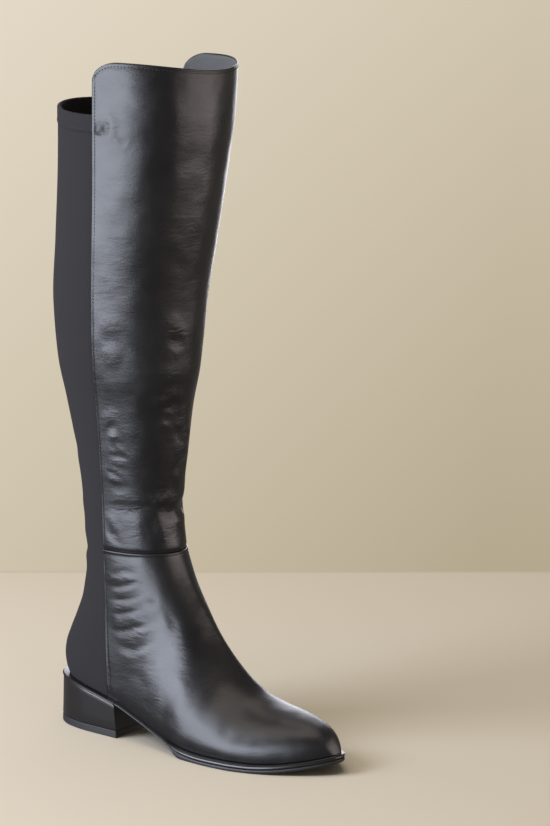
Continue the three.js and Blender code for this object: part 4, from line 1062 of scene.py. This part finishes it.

# %% [markdown]
# The floor is one large sheet of pale paper. Beyond a line behind the boot it glows as a plain backdrop, with
# painted light that is brighter on the left and at the top. Far off it glows a little all round, also painted
# light, so that other views have a pale ground too. Both are worked out from the floor's own coordinates.

# %% Floor
BACKDROP_LINE = 0.5505
LEVEL_AHEAD, LEVEL_RIGHT = (-0.6067, 0.7949, 0), (0.7949, 0.6067, 0)
CAMERA_REACH, FLOOR_RADIUS, SOFT_LINE, HALF_VIEW = 2.2, 40, 0.006, 0.095
bm = bmesh.new()
bmesh.ops.create_circle(bm, cap_ends=True, segments=128, radius=FLOOR_RADIUS)
mesh = bpy.data.meshes.new("floor")
bm.to_mesh(mesh)
bm.free()
floor = put("floor", mesh)
made, tree, shader = material("matt_paper_with_painted_backdrop_glow", Roughness=0.95, Specular_IOR_Level=0.2)
place = add(tree, "TexCoord", {})["Object"]
ahead = add(tree, "VectorMath", {0: place, 1: LEVEL_AHEAD}, operation="DOT_PRODUCT")["Value"]
right = add(tree, "VectorMath", {0: place, 1: LEVEL_RIGHT}, operation="DOT_PRODUCT")["Value"]
deep = add(tree, "Math", {0: ahead, 1: CAMERA_REACH}, operation="ADD")["Value"]
ratio = add(tree, "Math", {0: right, 1: deep}, operation="DIVIDE")["Value"]
across = add(tree, "MapRange", {"Value": ratio, "From Min": -HALF_VIEW, "From Max": HALF_VIEW})["Result"]
lower = add(tree, "Math", {0: CAMERA_REACH + BACKDROP_LINE, 1: deep}, operation="DIVIDE",
            use_clamp=True)["Value"]
# The backdrop's painted light: its emitted tone is brighter on the left and far off, and darker on the right
# and near the line.
upper_painted_light = add(tree, "MixRGB", {"Fac": across, "Color1": colour("#e6dbc9"),
                                 "Color2": colour("#d3c8b2")})
lower_painted_light = add(tree, "MixRGB", {"Fac": across, "Color1": colour("#cdc2ab"),
                                "Color2": colour("#b3a68d")})
# wall holds the backdrop's painted light, blended from the top down to the line.
wall = add(tree, "MixRGB", {"Fac": lower, "Color1": upper_painted_light["Color"], "Color2": lower_painted_light["Color"]})
beyond = add(tree, "MapRange", {"Value": ahead, "From Min": BACKDROP_LINE - SOFT_LINE,
                                "From Max": BACKDROP_LINE + SOFT_LINE})["Result"]
paper = add(tree, "MixRGB", {"Fac": beyond, "Color1": colour("#dcd3c1"), "Color2": colour("#000000")})
away_by = add(tree, "VectorMath", {0: place}, operation="LENGTH")["Value"]
far = add(tree, "MapRange", {"Value": away_by, "From Min": 0.8, "From Max": 3.5})["Result"]
# glow is painted light, from the far floor and the backdrop, and feeds the floor's emission.
glow = add(tree, "MixRGB", {"Fac": beyond, "Color1": colour("#a89e88"), "Color2": wall["Color"]})
shown = add(tree, "Math", {0: far, 1: beyond}, operation="MAXIMUM")["Value"]
tree.links.new(paper["Color"], shader["Base Color"])
tree.links.new(glow["Color"], shader["Emission Color"])
tree.links.new(shown, shader["Emission Strength"])
mesh.materials.append(made)
floor.visible_glossy = False
floor.visible_shadow = False
print("floor reaches", FLOOR_RADIUS, "m")

# %% [markdown]
# Black leather shows little but what it reflects, so the softboxes draw its form. A wide, cool one at the
# lower left and one above it make the long reflections on the shaft and vamp. Weaker ones lift the right
# edge and the back, and a big one overhead lights the floor. Three are linked to the boot alone, because
# they would burn a patch on the paper. The room is pale and dim, so the black stays black between them.

# %% Light
ROOM_GLOW = 0.28
scene.view_settings.view_transform = "Standard"
world = bpy.data.worlds.new("soft_room")
scene.world = world
world.use_nodes = True
room = world.node_tree.nodes["Background"].inputs
room["Color"].default_value = colour("#e0d8cc")
room["Strength"].default_value = ROOM_GLOW
boot_only = bpy.data.collections.new("lit_by_the_other_lights")
boot_only.objects.link(floor)
boot_only.collection_objects[0].light_linking.link_state = "EXCLUDE"

# Each softbox has its place, its aim, its width and height in metres, its watts, its tint, and whether it
# lights the floor.
SOFTBOXES = {
    "low_left_softbox": ((-0.3, -1.12, 0.26), (-0.03, 0, 0.26), (1.5, 0.72), 36, "#e8efff", False),
    "high_left_softbox": ((-0.78, -1.05, 1.1), (-0.03, 0, 0.2), (0.8, 0.8), 20, "#e8efff", True),
    "right_softbox": ((1.12, 0.42, 0.4), (-0.03, 0, 0.4), (1.3, 0.66), 9, "#fff1ee", False),
    "back_softbox": ((-0.9, 1.25, 0.6), (-0.03, 0, 0.3), (1.1, 1.1), 16, "#f4f4ff", False),
    "top_softbox": ((-0.3, -0.3, 2.2), (-0.1, -0.1, 0), (2.2, 2.2), 29, "#fff4e6", True),
}
for name, (place, aim, size, watts, tint, on_floor) in SOFTBOXES.items():
    data = bpy.data.lights.new(name, "AREA")
    data.shape = "RECTANGLE"
    data.size, data.size_y = size
    data.energy = watts
    data.color = colour(tint)[:3]
    lamp = put(name, data)
    lamp.location = place
    lamp.rotation_euler = (Vector(aim) - Vector(place)).to_track_quat("-Z", "Y").to_euler()
    lamp.visible_camera = False
    if not on_floor:
        lamp.light_linking.receiver_collection = boot_only
print("lights", len(SOFTBOXES))
